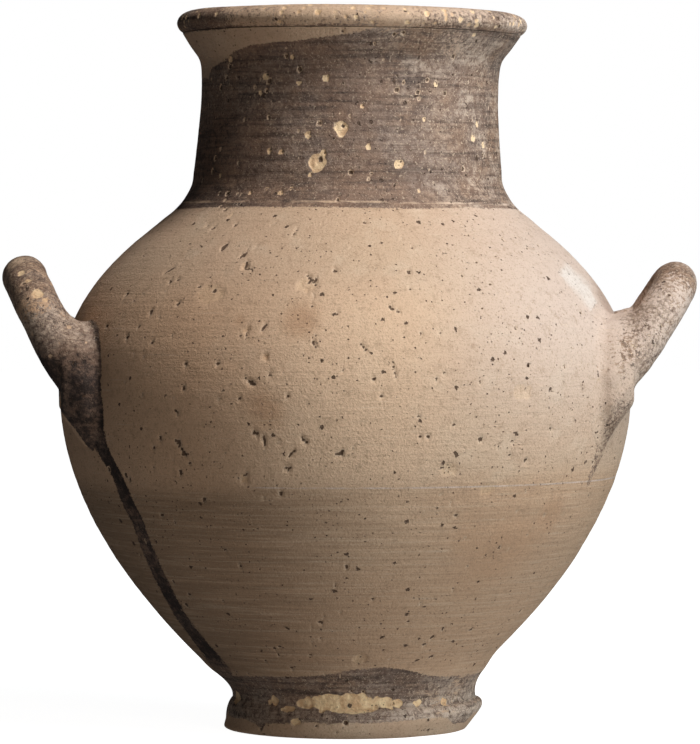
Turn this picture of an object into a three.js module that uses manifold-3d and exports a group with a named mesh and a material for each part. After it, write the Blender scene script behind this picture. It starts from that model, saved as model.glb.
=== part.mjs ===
// Fired clay amphora with a neck set off from the shoulder and two canted loop handles on the belly.
// Millimetres, +Z up. The origin is on the resting plane, midway between the outer ends of the handles.
// The pieces are the ones a potter makes and lutes together: a ring foot, two thrown body sections,
// a thrown neck, a lip bead, two rolled handles, and the clay added round the joints.

import * as THREE from "three";
import { mergeVertices } from "three/addons/utils/BufferGeometryUtils.js";
import Module from "manifold-3d";

const wasm = await Module();
wasm.setup();

// Joints
const LUTE = 0.3; // slip-filled gap between two pieces

// Ring foot
const FOOT_RADIUS = 51.4;
const FOOT_HEIGHT = 12;
const FOOT_BULGE_HEIGHT = 7.2; // where the foot is widest
const FOOT_TOP_STEP = 2.2; // in from there to the foot's top
const FOOT_BASE_STEP = 3.9; // in from there to its base
const FOOT_TOP_RADIUS = FOOT_RADIUS - FOOT_TOP_STEP;
const FOOT_BASE_RADIUS = FOOT_RADIUS - FOOT_BASE_STEP;
const FOOT_RING_WIDTH = 15.4;
const FOOT_RECESS_RADIUS = FOOT_RADIUS - FOOT_RING_WIDTH;
const FOOT_RECESS_FLARE = 2;
const FOOT_RECESS_DEPTH = 7;
const SPIGOT_OVERLAP = 4; // of the body's spigot on the ring
const SPIGOT_RADIUS = FOOT_RECESS_RADIUS + SPIGOT_OVERLAP;

// Body, from the foot to the neck
const BODY_STEP = 2.3; // from the spigot to the bottom of the wall
const BODY_START_RADIUS = SPIGOT_RADIUS + BODY_STEP;
const BODY_START_ANGLE = 43.9; // degrees above the horizontal
const LOWER_CONE_PULL = 49.9;
const BELLY_RADIUS = 114.2;
const BELLY_RISE = 124.8; // from the top of the foot
const BELLY_HEIGHT = FOOT_HEIGHT + BELLY_RISE;
const BELLY_FULLNESS_BELOW = 51.6;
const BELLY_FULLNESS_ABOVE = 41.2;
const SHOULDER_RISE = 74.2; // from the belly to the neck
const SHOULDER_PULL = 17.9;
const SHOULDER_ANGLE = 39.8; // degrees above the horizontal, where the shoulder meets the neck
const SEAM_DROP = 39.8; // from the belly to the joint between the two thrown body sections
const SEAM_HEIGHT = BELLY_HEIGHT - SEAM_DROP;
const SCARF = 4; // how far the inside of that joint rises above its outside
const BODY_WALL = 7;
const FLOOR_THICKNESS = 9;
const FLOOR_CORNER_RISE = 12; // of the rounded corner between floor and wall

// Neck
const NECK_RADIUS = 59.2; // at its narrowest
const NECK_SPREAD = 4.1; // of its base beyond that
const NECK_FLARE = 8.2; // of its top beyond that
const NECK_WAIST_RISE = 40.4; // from its base to where it is narrowest
const NECK_HEIGHT = 65.7;
const NECK_BASE_HEIGHT = BELLY_HEIGHT + SHOULDER_RISE;
const NECK_BASE_RADIUS = NECK_RADIUS + NECK_SPREAD;
const NECK_WAIST_HEIGHT = NECK_BASE_HEIGHT + NECK_WAIST_RISE;
const NECK_TOP_HEIGHT = NECK_BASE_HEIGHT + NECK_HEIGHT;
const NECK_TOP_RADIUS = NECK_RADIUS + NECK_FLARE;
const NECK_PULL = 6.4; // how long the outline stays straight at the base and the waist
const NECK_FLARE_PULL = 13.6;
const NECK_WAIST_PULL = 20.2;
const NECK_FLARE_ANGLE = 59.9; // degrees above the horizontal, under the bead
const NECK_WALL = 6.4;
const NECK_SEAT_DROP = 3.8; // fall of the joint with the shoulder, from outside to inside
const LIP_WALL = 8.2; // thickness of the flared edge under the bead

// Lip bead, an ellipse in section
const BEAD_WIDTH = 12.8;
const BEAD_HEIGHT = 9.4;
const BEAD_OVERHANG = 2.5; // beyond the neck's flared edge
const BEAD_SUNK = 0.9; // height of the ellipse that is cut away to seat it on the neck

// Clay smoothed into the outside corners above and below the body
const NECK_FILLET_RISE = 4;
const NECK_FILLET_RUN = 4;
const FOOT_FILLET_RISE = 12;
const FOOT_FILLET_HOLLOW = 1.3;
const FOOT_WAIST_RISE = 4.8; // of the fillet's narrowest part above the foot

// Handles: each a loop in a plane that leans outwards, its arms bent in to the belly
const HANDLE_OVERHANG = 24.2; // of the loop beyond the belly
const HANDLE_SPAN = 92; // between the centrelines of the two arms
const HANDLE_LENGTH = 66; // in the loop's plane, from its top centreline to the buried ends of the arms
const HANDLE_SQUARENESS = 2.5; // exponent of the superellipse that the centreline follows
const BEND_DEPTH = 26; // below the loop's top centreline, where the arms start to bend in
const BEND_REACH = 14; // how far the ends of the arms are bent in
// Each handle rises so far above the belly's widest line, and its webs so far. It leans out by so many
// degrees from the vertical, and is swung by so many to the front.
const LEFT_HANDLE = { side: -1, thickness: 17.2, rise: 51.9, webRise: 26.2, lean: 25, swing: 4.2 };
const RIGHT_HANDLE = { side: 1, thickness: 16.8, rise: 49.6, webRise: 29.2, lean: 32, swing: 1.8 };

// Clay pressed round each root of a handle, which webs it to the wall
const PAD_COLLAR = 1; // thickness where the pad ends on the arm
const PAD_REACH = 9; // out from the wall
const PAD_TOP_DROP = 10; // where the pad ends on the arm, from the loop's top centreline to the pad's top
const PAD_BOTTOM_DROP = 12; // of its lower edge
const PAD_SPREAD = 3.7; // of the pad's half width, from the arm to the wall
const PAD_SLANT = 1.5; // the most that the arm's slant across the plane of a ring widens the ring
const PAD_SINK = 14; // depth inside the wall at which the pad's loft ends

// Unevenness of a pot made by hand: sideways offsets of the axis, and the foot's roll
const BODY_SHIFT = -1.9;
const RIM_SHIFT = 0.7;
const FOOT_SHIFT = 1.6;
const BASE_SHIFT = -1.2; // on the resting plane
const FOOT_SHIFT_FADE = 18; // height above the foot over which its offset fades out
const FOOT_TILT = 0.05; // drop of the foot's roll, per millimetre to the left
const RIM_TILT = 0.009; // drop of the rim, per millimetre to the right

// Shares that shape the curves
const BASE_LEAN = 0.4; // of the neck's spread, at the end of its first stretch
const BULGE_LOW = 0.15; // of the height of the foot's widest line
const BULGE_MIDDLE = 0.5;
const BULGE_HIGH = 0.95; // of the foot's height
const CORNER_REACH = 2; // of the rounded corner's run on the floor, per millimetre of its rise
const CORNER_PULL = 0.62; // of that run
const THROAT_OUT = 0.6; // of the way in from the lip to the throat
const THROAT_DOWN = 0.25; // of the way down
const THROAT_UP = 0.45;
const FILLET_HOLLOW = 0.25; // of the way from a fillet's chord to its corner

// Facets
const ROUND_STEPS = 44;
const CURVE_STEPS = 9;
const BEAD_STEPS = 12;
const NECK_STEPS = 11;
const THROAT_STEPS = 4; // inside the neck, above its waist and below it
const CORNER_STEPS = 3;
const ROD_SIDES = 12;
const ROD_STEPS = 20;
const PAD_RINGS = 4;

const clay = new THREE.MeshStandardMaterial({ color: 0xc8a27c, roughness: 0.92, metalness: 0 });
const slip = new THREE.MeshStandardMaterial({ color: 0x55413a, roughness: 0.8, metalness: 0 });
const wornSlip = new THREE.MeshStandardMaterial({ color: 0x7d675a, roughness: 0.88, metalness: 0 });
const paleClay = new THREE.MeshStandardMaterial({ color: 0xc9ad86, roughness: 0.95, metalness: 0 });

const vec = (radius, height) => new THREE.Vector2(radius, height);
const along = (degrees) => {
  const angle = THREE.MathUtils.degToRad(degrees);
  return vec(Math.cos(angle), Math.sin(angle));
};

// Sideways offset of the pot's axis at a height.
function shiftAt(height) {
  const { smoothstep, lerp } = THREE.MathUtils;
  const baseFade = smoothstep(height, 0, FOOT_BULGE_HEIGHT);
  const footFade = smoothstep(height, FOOT_HEIGHT, FOOT_HEIGHT + FOOT_SHIFT_FADE);
  const rise = Math.max(0, height - BELLY_HEIGHT) / (NECK_TOP_HEIGHT - BELLY_HEIGHT);
  const lower = lerp(lerp(BASE_SHIFT, FOOT_SHIFT, baseFade), BODY_SHIFT, footFade);
  return lower + (RIM_SHIFT - BODY_SHIFT) * rise ** 2;
}

// Vertical offsets of the rim and of the foot's roll. The foot's is nothing at its top and on the
// resting plane.
function tiltAt(x, height) {
  const footShare = THREE.MathUtils.clamp(height / FOOT_HEIGHT, 0, 1);
  const neckShare = Math.max(0, height - NECK_BASE_HEIGHT) / (NECK_TOP_HEIGHT - NECK_BASE_HEIGHT);
  return FOOT_TILT * x * 4 * footShare * (1 - footShare) - RIM_TILT * x * neckShare ** 2;
}

// Moves every vertex of a geometry turned about the Z axis to where the uneven pot has it.
function unevenly(geometry) {
  const position = geometry.getAttribute("position");
  for (let i = 0; i < position.count; i++) {
    const height = position.getZ(i);
    const x = position.getX(i);
    position.setX(i, x + shiftAt(height));
    position.setZ(i, height + tiltAt(x, height));
  }
  return geometry;
}

// A closed surface turned about the Z axis from a profile of radius and height.
function turned(profile) {
  const points = profile.filter((p, i) => i === 0 || p.distanceTo(profile[i - 1]) > 0.01);
  if (points[0].x > 0) points.push(points[0].clone());
  const upright = THREE.ShapeUtils.area(points) > 0 ? points : points.reverse();
  return unevenly(new THREE.LatheGeometry(upright, ROUND_STEPS).rotateX(Math.PI / 2));
}

// The solid that manifold-3d cuts with.
function solidOf(geometry) {
  const bare = geometry.clone();
  bare.deleteAttribute("normal");
  bare.deleteAttribute("uv");
  const merged = mergeVertices(bare, 1e-3);
  const mesh = { numProp: 3, vertProperties: merged.attributes.position.array };
  mesh.triVerts = new Uint32Array(merged.index.array);
  return new wasm.Manifold(new wasm.Mesh(mesh));
}

function geometryOf(solid) {
  const { vertProperties, triVerts } = solid.getMesh();
  const geometry = new THREE.BufferGeometry();
  geometry.setAttribute("position", new THREE.BufferAttribute(new Float32Array(vertProperties), 3));
  geometry.setIndex(new THREE.BufferAttribute(new Uint32Array(triVerts), 1));
  geometry.computeVertexNormals();
  return geometry;
}

// The two outlines that the wall follows, each a path of radius and height from bottom to top
function bodyCurve() {
  const start = vec(BODY_START_RADIUS, FOOT_HEIGHT + LUTE);
  const lower = along(BODY_START_ANGLE).multiplyScalar(LOWER_CONE_PULL).add(start);
  const end = vec(NECK_BASE_RADIUS, NECK_BASE_HEIGHT);
  const upper = along(-SHOULDER_ANGLE).multiplyScalar(SHOULDER_PULL).add(end);
  const belly = vec(BELLY_RADIUS, BELLY_HEIGHT);
  const path = new THREE.Path();
  path.moveTo(start.x, start.y);
  path.bezierCurveTo(lower.x, lower.y, belly.x, belly.y - BELLY_FULLNESS_BELOW, belly.x, belly.y);
  path.bezierCurveTo(belly.x, belly.y + BELLY_FULLNESS_ABOVE, upper.x, upper.y, end.x, end.y);
  return path;
}

function neckCurve() {
  const top = vec(NECK_TOP_RADIUS, NECK_TOP_HEIGHT);
  const flare = along(NECK_FLARE_ANGLE).multiplyScalar(-NECK_FLARE_PULL).add(top);
  const path = new THREE.Path();
  path.moveTo(NECK_BASE_RADIUS, NECK_BASE_HEIGHT);
  path.bezierCurveTo(
    NECK_BASE_RADIUS - BASE_LEAN * NECK_SPREAD,
    NECK_BASE_HEIGHT + NECK_PULL,
    NECK_RADIUS,
    NECK_WAIST_HEIGHT - NECK_PULL,
    NECK_RADIUS,
    NECK_WAIST_HEIGHT,
  );
  path.bezierCurveTo(NECK_RADIUS, NECK_WAIST_HEIGHT + NECK_WAIST_PULL, flare.x, flare.y, top.x, top.y);
  return path;
}

// Share of a rising path's length at which it reaches a height.
function shareAt(path, height) {
  let low = 0;
  let high = 1;
  for (let i = 0; i < 40; i++) {
    const middle = (low + high) / 2;
    if (path.getPoint(middle).y < height) low = middle;
    else high = middle;
  }
  return low;
}

// Points along part of a path, moved towards the axis side of the wall by a depth.
function stretch(path, from, to, depth, steps = CURVE_STEPS) {
  return Array.from({ length: steps + 1 }, (_, i) => {
    const share = THREE.MathUtils.lerp(from, to, i / steps);
    const tangent = path.getTangent(share);
    const at = Math.min(1, Math.max(0, share));
    return path.getPoint(at).add(vec(-tangent.y, tangent.x).multiplyScalar(depth));
  });
}

const body = bodyCurve();
const neck = neckCurve();
const bodyLength = body.getLength();
const luteShare = LUTE / bodyLength;
const seamOutside = shareAt(body, SEAM_HEIGHT);
const seamInside = seamOutside + SCARF / bodyLength;

// Profiles, each closed by turned()
function footRing() {
  const bore = SPIGOT_RADIUS + LUTE;
  const bulge = new THREE.Path();
  bulge.moveTo(FOOT_BASE_RADIUS, 0);
  bulge.bezierCurveTo(
    (FOOT_BASE_RADIUS + FOOT_RADIUS) / 2,
    FOOT_BULGE_HEIGHT * BULGE_LOW,
    FOOT_RADIUS,
    FOOT_BULGE_HEIGHT * BULGE_MIDDLE,
    FOOT_RADIUS,
    FOOT_BULGE_HEIGHT,
  );
  bulge.bezierCurveTo(
    FOOT_RADIUS,
    (FOOT_BULGE_HEIGHT + FOOT_HEIGHT) / 2,
    (FOOT_RADIUS + FOOT_TOP_RADIUS) / 2,
    FOOT_HEIGHT * BULGE_HIGH,
    FOOT_TOP_RADIUS,
    FOOT_HEIGHT,
  );
  return turned([
    vec(FOOT_RECESS_RADIUS, 0),
    ...stretch(bulge, 0, 1, 0),
    vec(bore, FOOT_HEIGHT),
    vec(bore, FOOT_RECESS_DEPTH),
    vec(FOOT_RECESS_RADIUS + FOOT_RECESS_FLARE, FOOT_RECESS_DEPTH),
  ]);
}

function lowerBody() {
  const underside = FOOT_RECESS_DEPTH + LUTE;
  const floorHeight = underside + FLOOR_THICKNESS;
  const wallStart = shareAt(body, floorHeight + FLOOR_CORNER_RISE);
  const inside = stretch(body, seamInside, wallStart, BODY_WALL);
  const cornerTop = inside[inside.length - 1];
  const run = (cornerTop.y - floorHeight) * CORNER_REACH;
  const corner = new THREE.QuadraticBezierCurve(
    cornerTop,
    vec(cornerTop.x - run * (1 - CORNER_PULL), floorHeight),
    vec(cornerTop.x - run, floorHeight),
  );
  return turned([
    vec(0, underside),
    vec(SPIGOT_RADIUS, underside),
    vec(SPIGOT_RADIUS, FOOT_HEIGHT + LUTE),
    ...stretch(body, 0, seamOutside, 0),
    ...inside,
    ...corner.getPoints(CORNER_STEPS).slice(1),
    vec(0, floorHeight),
  ]);
}

// The neck stands on the shoulder's edge, on a cone that falls inwards.
function upperBody() {
  const inside = stretch(body, 1, seamInside + luteShare, BODY_WALL);
  const edge = vec(NECK_BASE_RADIUS - NECK_WALL, NECK_BASE_HEIGHT - NECK_SEAT_DROP);
  const below = inside.filter((p) => p.y < edge.y - LUTE && p.x > edge.x);
  return turned([...stretch(body, seamOutside + luteShare, 1, 0), edge, ...below]);
}

function neckTube() {
  const inside = stretch(neck, shareAt(neck, NECK_WAIST_HEIGHT), 0, NECK_WALL, THROAT_STEPS);
  const lip = vec(NECK_TOP_RADIUS - LIP_WALL, NECK_TOP_HEIGHT);
  const throat = inside[0];
  const flare = new THREE.CubicBezierCurve(
    lip,
    vec(lip.x - (lip.x - throat.x) * THROAT_OUT, lip.y - (lip.y - throat.y) * THROAT_DOWN),
    vec(throat.x, throat.y + (lip.y - throat.y) * THROAT_UP),
    throat,
  );
  const edge = vec(NECK_BASE_RADIUS - NECK_WALL, NECK_BASE_HEIGHT - NECK_SEAT_DROP + LUTE);
  const outside = stretch(neck, 0, 1, 0, NECK_STEPS);
  outside[0].y += LUTE;
  const below = inside.slice(1).filter((p) => p.y > edge.y + LUTE);
  return turned([...outside, ...flare.getPoints(THROAT_STEPS), ...below, edge]);
}

function lipBead() {
  const bottom = NECK_TOP_HEIGHT + LUTE;
  const halfHeight = BEAD_HEIGHT / 2;
  const centre = vec(NECK_TOP_RADIUS + BEAD_OVERHANG - BEAD_WIDTH / 2, bottom - BEAD_SUNK + halfHeight);
  const cut = Math.asin((bottom - centre.y) / halfHeight);
  return turned(
    Array.from({ length: BEAD_STEPS + 1 }, (_, i) => {
      const angle = THREE.MathUtils.lerp(cut, Math.PI - cut, i / BEAD_STEPS);
      return vec(centre.x + (Math.cos(angle) * BEAD_WIDTH) / 2, centre.y + Math.sin(angle) * halfHeight);
    }),
  );
}

// Clay smoothed into the outside corner between the neck and the shoulder.
function neckFillet() {
  const run = NECK_FILLET_RUN / bodyLength;
  const rise = NECK_FILLET_RISE / neck.getLength();
  const seat = stretch(body, 1 - run, 1, -LUTE, CORNER_STEPS);
  const corner = seat[seat.length - 1];
  const back = stretch(neck, 0, rise, -LUTE, CORNER_STEPS).filter((p) => p.y > corner.y);
  const toe = stretch(body, 1 - run, 1, -LUTE * 2, 1)[0];
  const head = stretch(neck, 0, rise, -LUTE * 2, 1)[1];
  const middle = toe.clone().add(head).divideScalar(2);
  const face = new THREE.QuadraticBezierCurve(head, middle.lerp(corner, FILLET_HOLLOW), toe);
  return turned([...seat, ...back, ...face.getPoints(CORNER_STEPS)]);
}

// Clay smoothed into the outside corner between the body and the foot.
function footFillet() {
  const bottom = FOOT_HEIGHT + LUTE;
  const top = shareAt(body, bottom + FOOT_FILLET_RISE);
  const back = stretch(body, 0, top, -LUTE, CORNER_STEPS).filter((p) => p.y > bottom + LUTE);
  const corner = vec(BODY_START_RADIUS + LUTE, bottom);
  const head = stretch(body, 0, top, -LUTE * 2, 1)[1];
  const toe = vec(FOOT_TOP_RADIUS - LUTE, bottom);
  const waist = vec(toe.x - FOOT_FILLET_HOLLOW, toe.y + FOOT_WAIST_RISE);
  const face = new THREE.QuadraticBezierCurve(toe, waist, head);
  return turned([...face.getPoints(2 * CORNER_STEPS), ...back.reverse(), corner]);
}

// Everything inside the outer surface of the body and neck, grown by the joint gap. Its rings are
// those of the two body sections, so its facets lie along theirs.
function envelope() {
  const lower = stretch(body, 0, seamOutside, -LUTE);
  const outside = lower.concat(stretch(body, seamOutside + luteShare, 1, -LUTE));
  const rising = stretch(neck, 0, 1, -LUTE, CURVE_STEPS).filter((p) => p.y > outside[outside.length - 1].y);
  const first = outside[0];
  const last = rising[rising.length - 1];
  return turned([vec(0, first.y), ...outside, ...rising, vec(0, last.y)]);
}

// Radius of the body's outer surface at a height.
const radiusAt = (height) => body.getPoint(shareAt(body, height)).x;

// Centreline of a loop handle. Its depth is measured in the loop's plane, down from its top.
class HandleLine extends THREE.Curve {
  constructor({ side, thickness, rise, webRise, lean, swing }) {
    super();
    const turn = THREE.MathUtils.degToRad(swing);
    this.lean = THREE.MathUtils.degToRad(lean);
    this.radius = thickness / 2;
    this.outwards = new THREE.Vector3(side * Math.cos(turn), -Math.sin(turn), 0);
    this.across = new THREE.Vector3(side * Math.sin(turn), Math.cos(turn), 0);
    this.reach = BELLY_RADIUS + HANDLE_OVERHANG - this.radius;
    this.height = BELLY_HEIGHT + rise - this.radius;
    this.webTop = BELLY_HEIGHT + webRise;
  }
  // Half of the loop's width at a depth.
  halfWidthAt(depth) {
    const share = THREE.MathUtils.clamp(1 - depth / HANDLE_LENGTH, 0, 1);
    return (HANDLE_SPAN / 2) * (1 - share ** HANDLE_SQUARENESS) ** (1 / HANDLE_SQUARENESS);
  }
  // The point at a distance out from the pot's middle, a distance across it, and a height.
  place(out, across, height, target = new THREE.Vector3()) {
    target.copy(this.outwards).multiplyScalar(out);
    return target.addScaledVector(this.across, across).setZ(height);
  }
  // Distance out from the pot's middle to the loop's plane at a height.
  planeAt(height) {
    return this.reach - (this.height - height) * Math.tan(this.lean);
  }
  getPoint(t, target) {
    const depth = HANDLE_LENGTH * (1 - Math.sin(Math.PI * t) ** (2 / HANDLE_SQUARENESS));
    const height = this.height - depth * Math.cos(this.lean);
    const bent = Math.max(0, depth - BEND_DEPTH) / (HANDLE_LENGTH - BEND_DEPTH);
    const across = this.halfWidthAt(depth) * (t < 0.5 ? -1 : 1);
    return this.place(this.planeAt(height) - BEND_REACH * bent ** 2, across, height, target);
  }
}

// A round rod along a line.
function rod(line, radius) {
  const section = new THREE.Shape();
  section.absarc(0, 0, radius, 0, 2 * Math.PI);
  const options = { extrudePath: line, steps: ROD_STEPS, curveSegments: ROD_SIDES, bevelEnabled: false };
  return new THREE.ExtrudeGeometry(section, options);
}

// Distance out from the pot's middle at which a handle's centreline comes out of the wall.
function rootReach(line) {
  let low = 0;
  let high = 0.5;
  for (let i = 0; i < 30; i++) {
    const middle = (low + high) / 2;
    const at = line.getPoint(middle);
    const inside = Math.hypot(at.x - shiftAt(at.z), at.y) < radiusAt(at.z);
    if (inside) low = middle;
    else high = middle;
  }
  return line.getPoint(low).dot(line.outwards);
}

// The clay at one root of a handle, as rings in upright planes that lie along the wall. The outermost
// ring is the slanted section of a collar round the arm. The next ones grow into a tall egg.
function padSolid(line, end) {
  const collar = line.radius + LUTE + PAD_COLLAR;
  const root = rootReach(line);
  const middle = line.height - (line.reach - root - PAD_REACH) / Math.tan(line.lean);
  const half = collar / Math.sin(line.lean);
  const positions = [];
  for (let ring = 0; ring <= PAD_RINGS + 1; ring++) {
    const t = Math.min(1, ring / PAD_RINGS);
    const out = ring > PAD_RINGS ? root - PAD_SINK : root + PAD_REACH * (1 - t);
    const top = THREE.MathUtils.lerp(line.height - PAD_TOP_DROP, line.webTop, t * (2 - t));
    const bottom = middle - half - PAD_BOTTOM_DROP * t;
    const halfWidth = collar + PAD_SPREAD * t;
    for (let i = 0; i < ROD_SIDES; i++) {
      const angle = (2 * Math.PI * i) / ROD_SIDES;
      const height = (top + bottom) / 2 + (Math.cos(angle) * (top - bottom)) / 2;
      const depth = (line.height - height) / Math.cos(line.lean);
      const slope = line.halfWidthAt(depth + 0.5) - line.halfWidthAt(depth - 0.5);
      const slant = Math.min(PAD_SLANT, Math.hypot(1, slope));
      const across = line.halfWidthAt(depth) + Math.sin(angle) * halfWidth * slant;
      positions.push(...line.place(out, end * across, height));
    }
  }
  const faces = [];
  const last = (PAD_RINGS + 1) * ROD_SIDES;
  for (let i = 0; i < ROD_SIDES; i++) {
    const next = (i + 1) % ROD_SIDES;
    for (let a = 0; a < last; a += ROD_SIDES) {
      const b = a + ROD_SIDES;
      faces.push([a + i, a + next, b + next], [a + i, b + next, b + i]);
    }
    if (i > 0 && next > 0) faces.push([0, next, i], [last, last + i, last + next]);
  }
  // The rings run one way round at one root of a handle, and the other way round at the other root.
  const facing = end * Math.sign(line.outwards.x) > 0 ? faces : faces.map(([a, b, c]) => [a, c, b]);
  const geometry = new THREE.BufferGeometry();
  geometry.setAttribute("position", new THREE.BufferAttribute(new Float32Array(positions), 3));
  geometry.setIndex(facing.flat());
  return solidOf(geometry);
}

const amphora = new THREE.Group();

function add(name, geometry, material) {
  const mesh = new THREE.Mesh(geometry, material);
  mesh.name = name;
  amphora.add(mesh);
}

add("foot_ring", footRing(), wornSlip);
add("foot_fillet", footFillet(), paleClay);
add("lower_body", lowerBody(), clay);
add("upper_body", upperBody(), clay);
add("neck_fillet", neckFillet(), slip);
add("neck", neckTube(), slip);
add("lip_bead", lipBead(), paleClay);

const pot = solidOf(envelope());
for (const [label, handle] of Object.entries({ left: LEFT_HANDLE, right: RIGHT_HANDLE })) {
  const line = new HandleLine(handle);
  add(`${label}_handle`, geometryOf(solidOf(rod(line, line.radius)).subtract(pot)), wornSlip);
  const socket = solidOf(rod(line, line.radius + LUTE));
  for (const [place, end] of Object.entries({ front: -1, back: 1 })) {
    const pad = padSolid(line, end).subtract(pot).subtract(socket);
    add(`${label}_${place}_root_pad`, geometryOf(pad), wornSlip);
  }
}

export default amphora;
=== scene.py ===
"""A fired clay amphora with slip on its neck, handles and foot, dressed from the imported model.

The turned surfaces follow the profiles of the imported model's nodes, and the handles its loops and root
pads. Lengths are in metres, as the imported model's are, and MM turns millimetres into them.
"""

import math

import bmesh
import bpy
import numpy as np
from mathutils import Euler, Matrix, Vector
from mathutils.bvhtree import BVHTree
from mathutils.kdtree import KDTree


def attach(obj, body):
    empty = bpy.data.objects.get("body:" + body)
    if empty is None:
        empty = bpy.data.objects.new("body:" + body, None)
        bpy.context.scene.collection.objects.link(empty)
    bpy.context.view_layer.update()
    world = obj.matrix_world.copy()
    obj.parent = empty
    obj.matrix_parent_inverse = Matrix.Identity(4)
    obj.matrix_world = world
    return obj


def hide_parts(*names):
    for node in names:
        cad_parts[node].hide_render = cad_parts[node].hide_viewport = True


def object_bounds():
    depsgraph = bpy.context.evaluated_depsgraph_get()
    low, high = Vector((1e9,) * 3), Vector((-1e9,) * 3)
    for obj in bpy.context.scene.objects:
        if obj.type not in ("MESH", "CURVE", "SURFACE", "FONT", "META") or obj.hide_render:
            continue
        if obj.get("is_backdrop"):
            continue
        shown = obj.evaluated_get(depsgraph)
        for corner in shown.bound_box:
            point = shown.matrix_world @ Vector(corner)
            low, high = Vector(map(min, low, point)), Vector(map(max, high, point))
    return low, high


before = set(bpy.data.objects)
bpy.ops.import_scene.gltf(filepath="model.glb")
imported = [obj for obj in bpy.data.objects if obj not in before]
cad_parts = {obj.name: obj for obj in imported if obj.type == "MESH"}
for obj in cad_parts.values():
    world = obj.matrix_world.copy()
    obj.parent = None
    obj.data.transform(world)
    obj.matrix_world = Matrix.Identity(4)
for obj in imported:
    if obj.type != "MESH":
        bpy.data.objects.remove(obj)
cad_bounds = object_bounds()

MM = 0.001

# Camera, which sees the pot as the photograph does
PHOTO_WIDTH = 700
PHOTO_HEIGHT = 744
CAMERA_PLACE = Vector((0, -1.8, 0.185))
CAMERA_DIP = 1.36  # degrees below the horizontal
LENS = 217.7
SENSOR = 36
SIGHT_END = 20

# Mesh density
COLUMNS = 720
REACH_SAMPLES = 4000
GAP_SAMPLES = 2000
FRONT_DENSITY = 0.4  # share by which the columns stand closer at the front than on average
INSIDE_SHARE = 4  # columns outside to each column inside
FOOT_STEP = 0.5 * MM
BODY_STEP = 1.1 * MM
NECK_STEP = 0.8 * MM
LIP_STEP = 0.6 * MM
INSIDE_STEP = 3 * MM
HANDLE_VOXEL = 0.9 * MM


def placed(name, data):
    """A new object in the scene."""
    thing = bpy.data.objects.new(name, data)
    bpy.context.scene.collection.objects.link(thing)
    return thing


# Camera first, so that marks can be placed by their pixel in the photograph
def add_camera():
    data = bpy.data.cameras.new("camera")
    data.sensor_fit = "VERTICAL"
    data.sensor_height = SENSOR
    data.lens = LENS
    data.clip_end = SIGHT_END
    camera = placed("camera", data)
    camera.location = CAMERA_PLACE
    camera.rotation_euler = Euler((math.radians(90 - CAMERA_DIP), 0, 0))
    bpy.context.scene.camera = camera


def sight(x, y):
    """Direction in which the camera sees a pixel of the photograph."""
    focal = LENS / SENSOR * PHOTO_HEIGHT
    ray = Vector((x - PHOTO_WIDTH / 2, PHOTO_HEIGHT / 2 - y, -focal))
    ray.rotate(Euler((math.radians(90 - CAMERA_DIP), 0, 0)))
    return ray.normalized()


def tree_of(*nodes):
    vertices = []
    faces = []
    for node in nodes:
        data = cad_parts[node].data
        first = len(vertices)
        vertices.extend(v.co for v in data.vertices)
        faces.extend([first + i for i in p.vertices] for p in data.polygons)
    return BVHTree.FromPolygons(vertices, faces)


TURNED = ("foot_ring", "foot_fillet", "lower_body", "upper_body", "neck_fillet", "neck", "lip_bead")
pot_tree = tree_of(*TURNED)


def seen(x, y):
    """Where the sight line through a pixel of the photograph meets the turned pot."""
    place = pot_tree.ray_cast(CAMERA_PLACE, sight(x, y))[0]
    if place is None:
        raise ValueError(f"pixel {x}, {y} is beside the pot")
    return np.array(place)


# Random relief
rng = np.random.default_rng(7)
NOISE_TABLE = rng.uniform(-1, 1, 65536)
SEED_STEP = 17.31  # cells between the patterns of one seed and the next
NOISE_PRIMES = np.array([73856093, 19349663, 83492791])


def noise(points, size, seed=0):
    """Smooth random values between -1 and 1, with bumps of about the given size."""
    cells = np.asarray(points) / size + seed * SEED_STEP
    low = np.floor(cells).astype(np.int64)
    part = cells - low
    blend = part * part * (3 - 2 * part)
    total = np.zeros(len(cells))
    for corner in np.ndindex(2, 2, 2):
        weight = np.prod(np.where(corner, blend, 1 - blend), axis=1)
        keys = (low + corner) * NOISE_PRIMES
        mixed = keys[:, 0] ^ keys[:, 1] ^ keys[:, 2]
        total += weight * NOISE_TABLE[mixed % len(NOISE_TABLE)]
    return total


def rough(points, size, seed=0, octaves=3):
    """Noise with ever finer and fainter detail."""
    return sum(noise(points, size / 2**i, seed + i) / 2**i for i in range(octaves))


def smoothstep(value, low, high):
    share = np.clip((value - low) / (high - low), 0, 1)
    return share * share * (3 - 2 * share)


def fade(value, low, high):
    """Share that grows from nothing to all between two distances in millimetres."""
    return smoothstep(value, low * MM, high * MM)


def band(value, low, full, still_full, high):
    """Share of a band that grows over its first two distances and fades over its last two."""
    return fade(value, low, full) - fade(value, still_full, high)


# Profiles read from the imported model. Each row holds radius, height, sideways shift of the ring's
# middle, and the ring's tilt.
MERIDIAN_REACH = 3 * MM
START_LEAN = 0.05  # how much a corner's distance out counts beside its height in finding the first


def meridian(node, out, along):
    """Corners of a turned node where one axis points out and the other is near nothing, in order."""
    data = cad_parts[node].data
    place = [tuple(round(c, 6) for c in v.co) for v in data.vertices]
    links = {}
    for polygon in data.polygons:
        ring = [place[i] for i in polygon.vertices]
        for a, b in zip(ring, ring[1:] + ring[:1]):
            if all(out(p) > MERIDIAN_REACH > abs(p[along]) for p in (a, b)):
                links.setdefault(a, set()).add(b)
                links.setdefault(b, set()).add(a)
    ends = [p for p in links if len(links[p]) == 1]
    line = [min(ends or links, key=lambda p: p[2] + out(p) * START_LEAN)]
    onward = links[line[0]]
    while onward:
        line.append(max(onward, key=out))
        onward = [p for p in links[line[-1]] if p not in line]
    return np.array(line)


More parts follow.
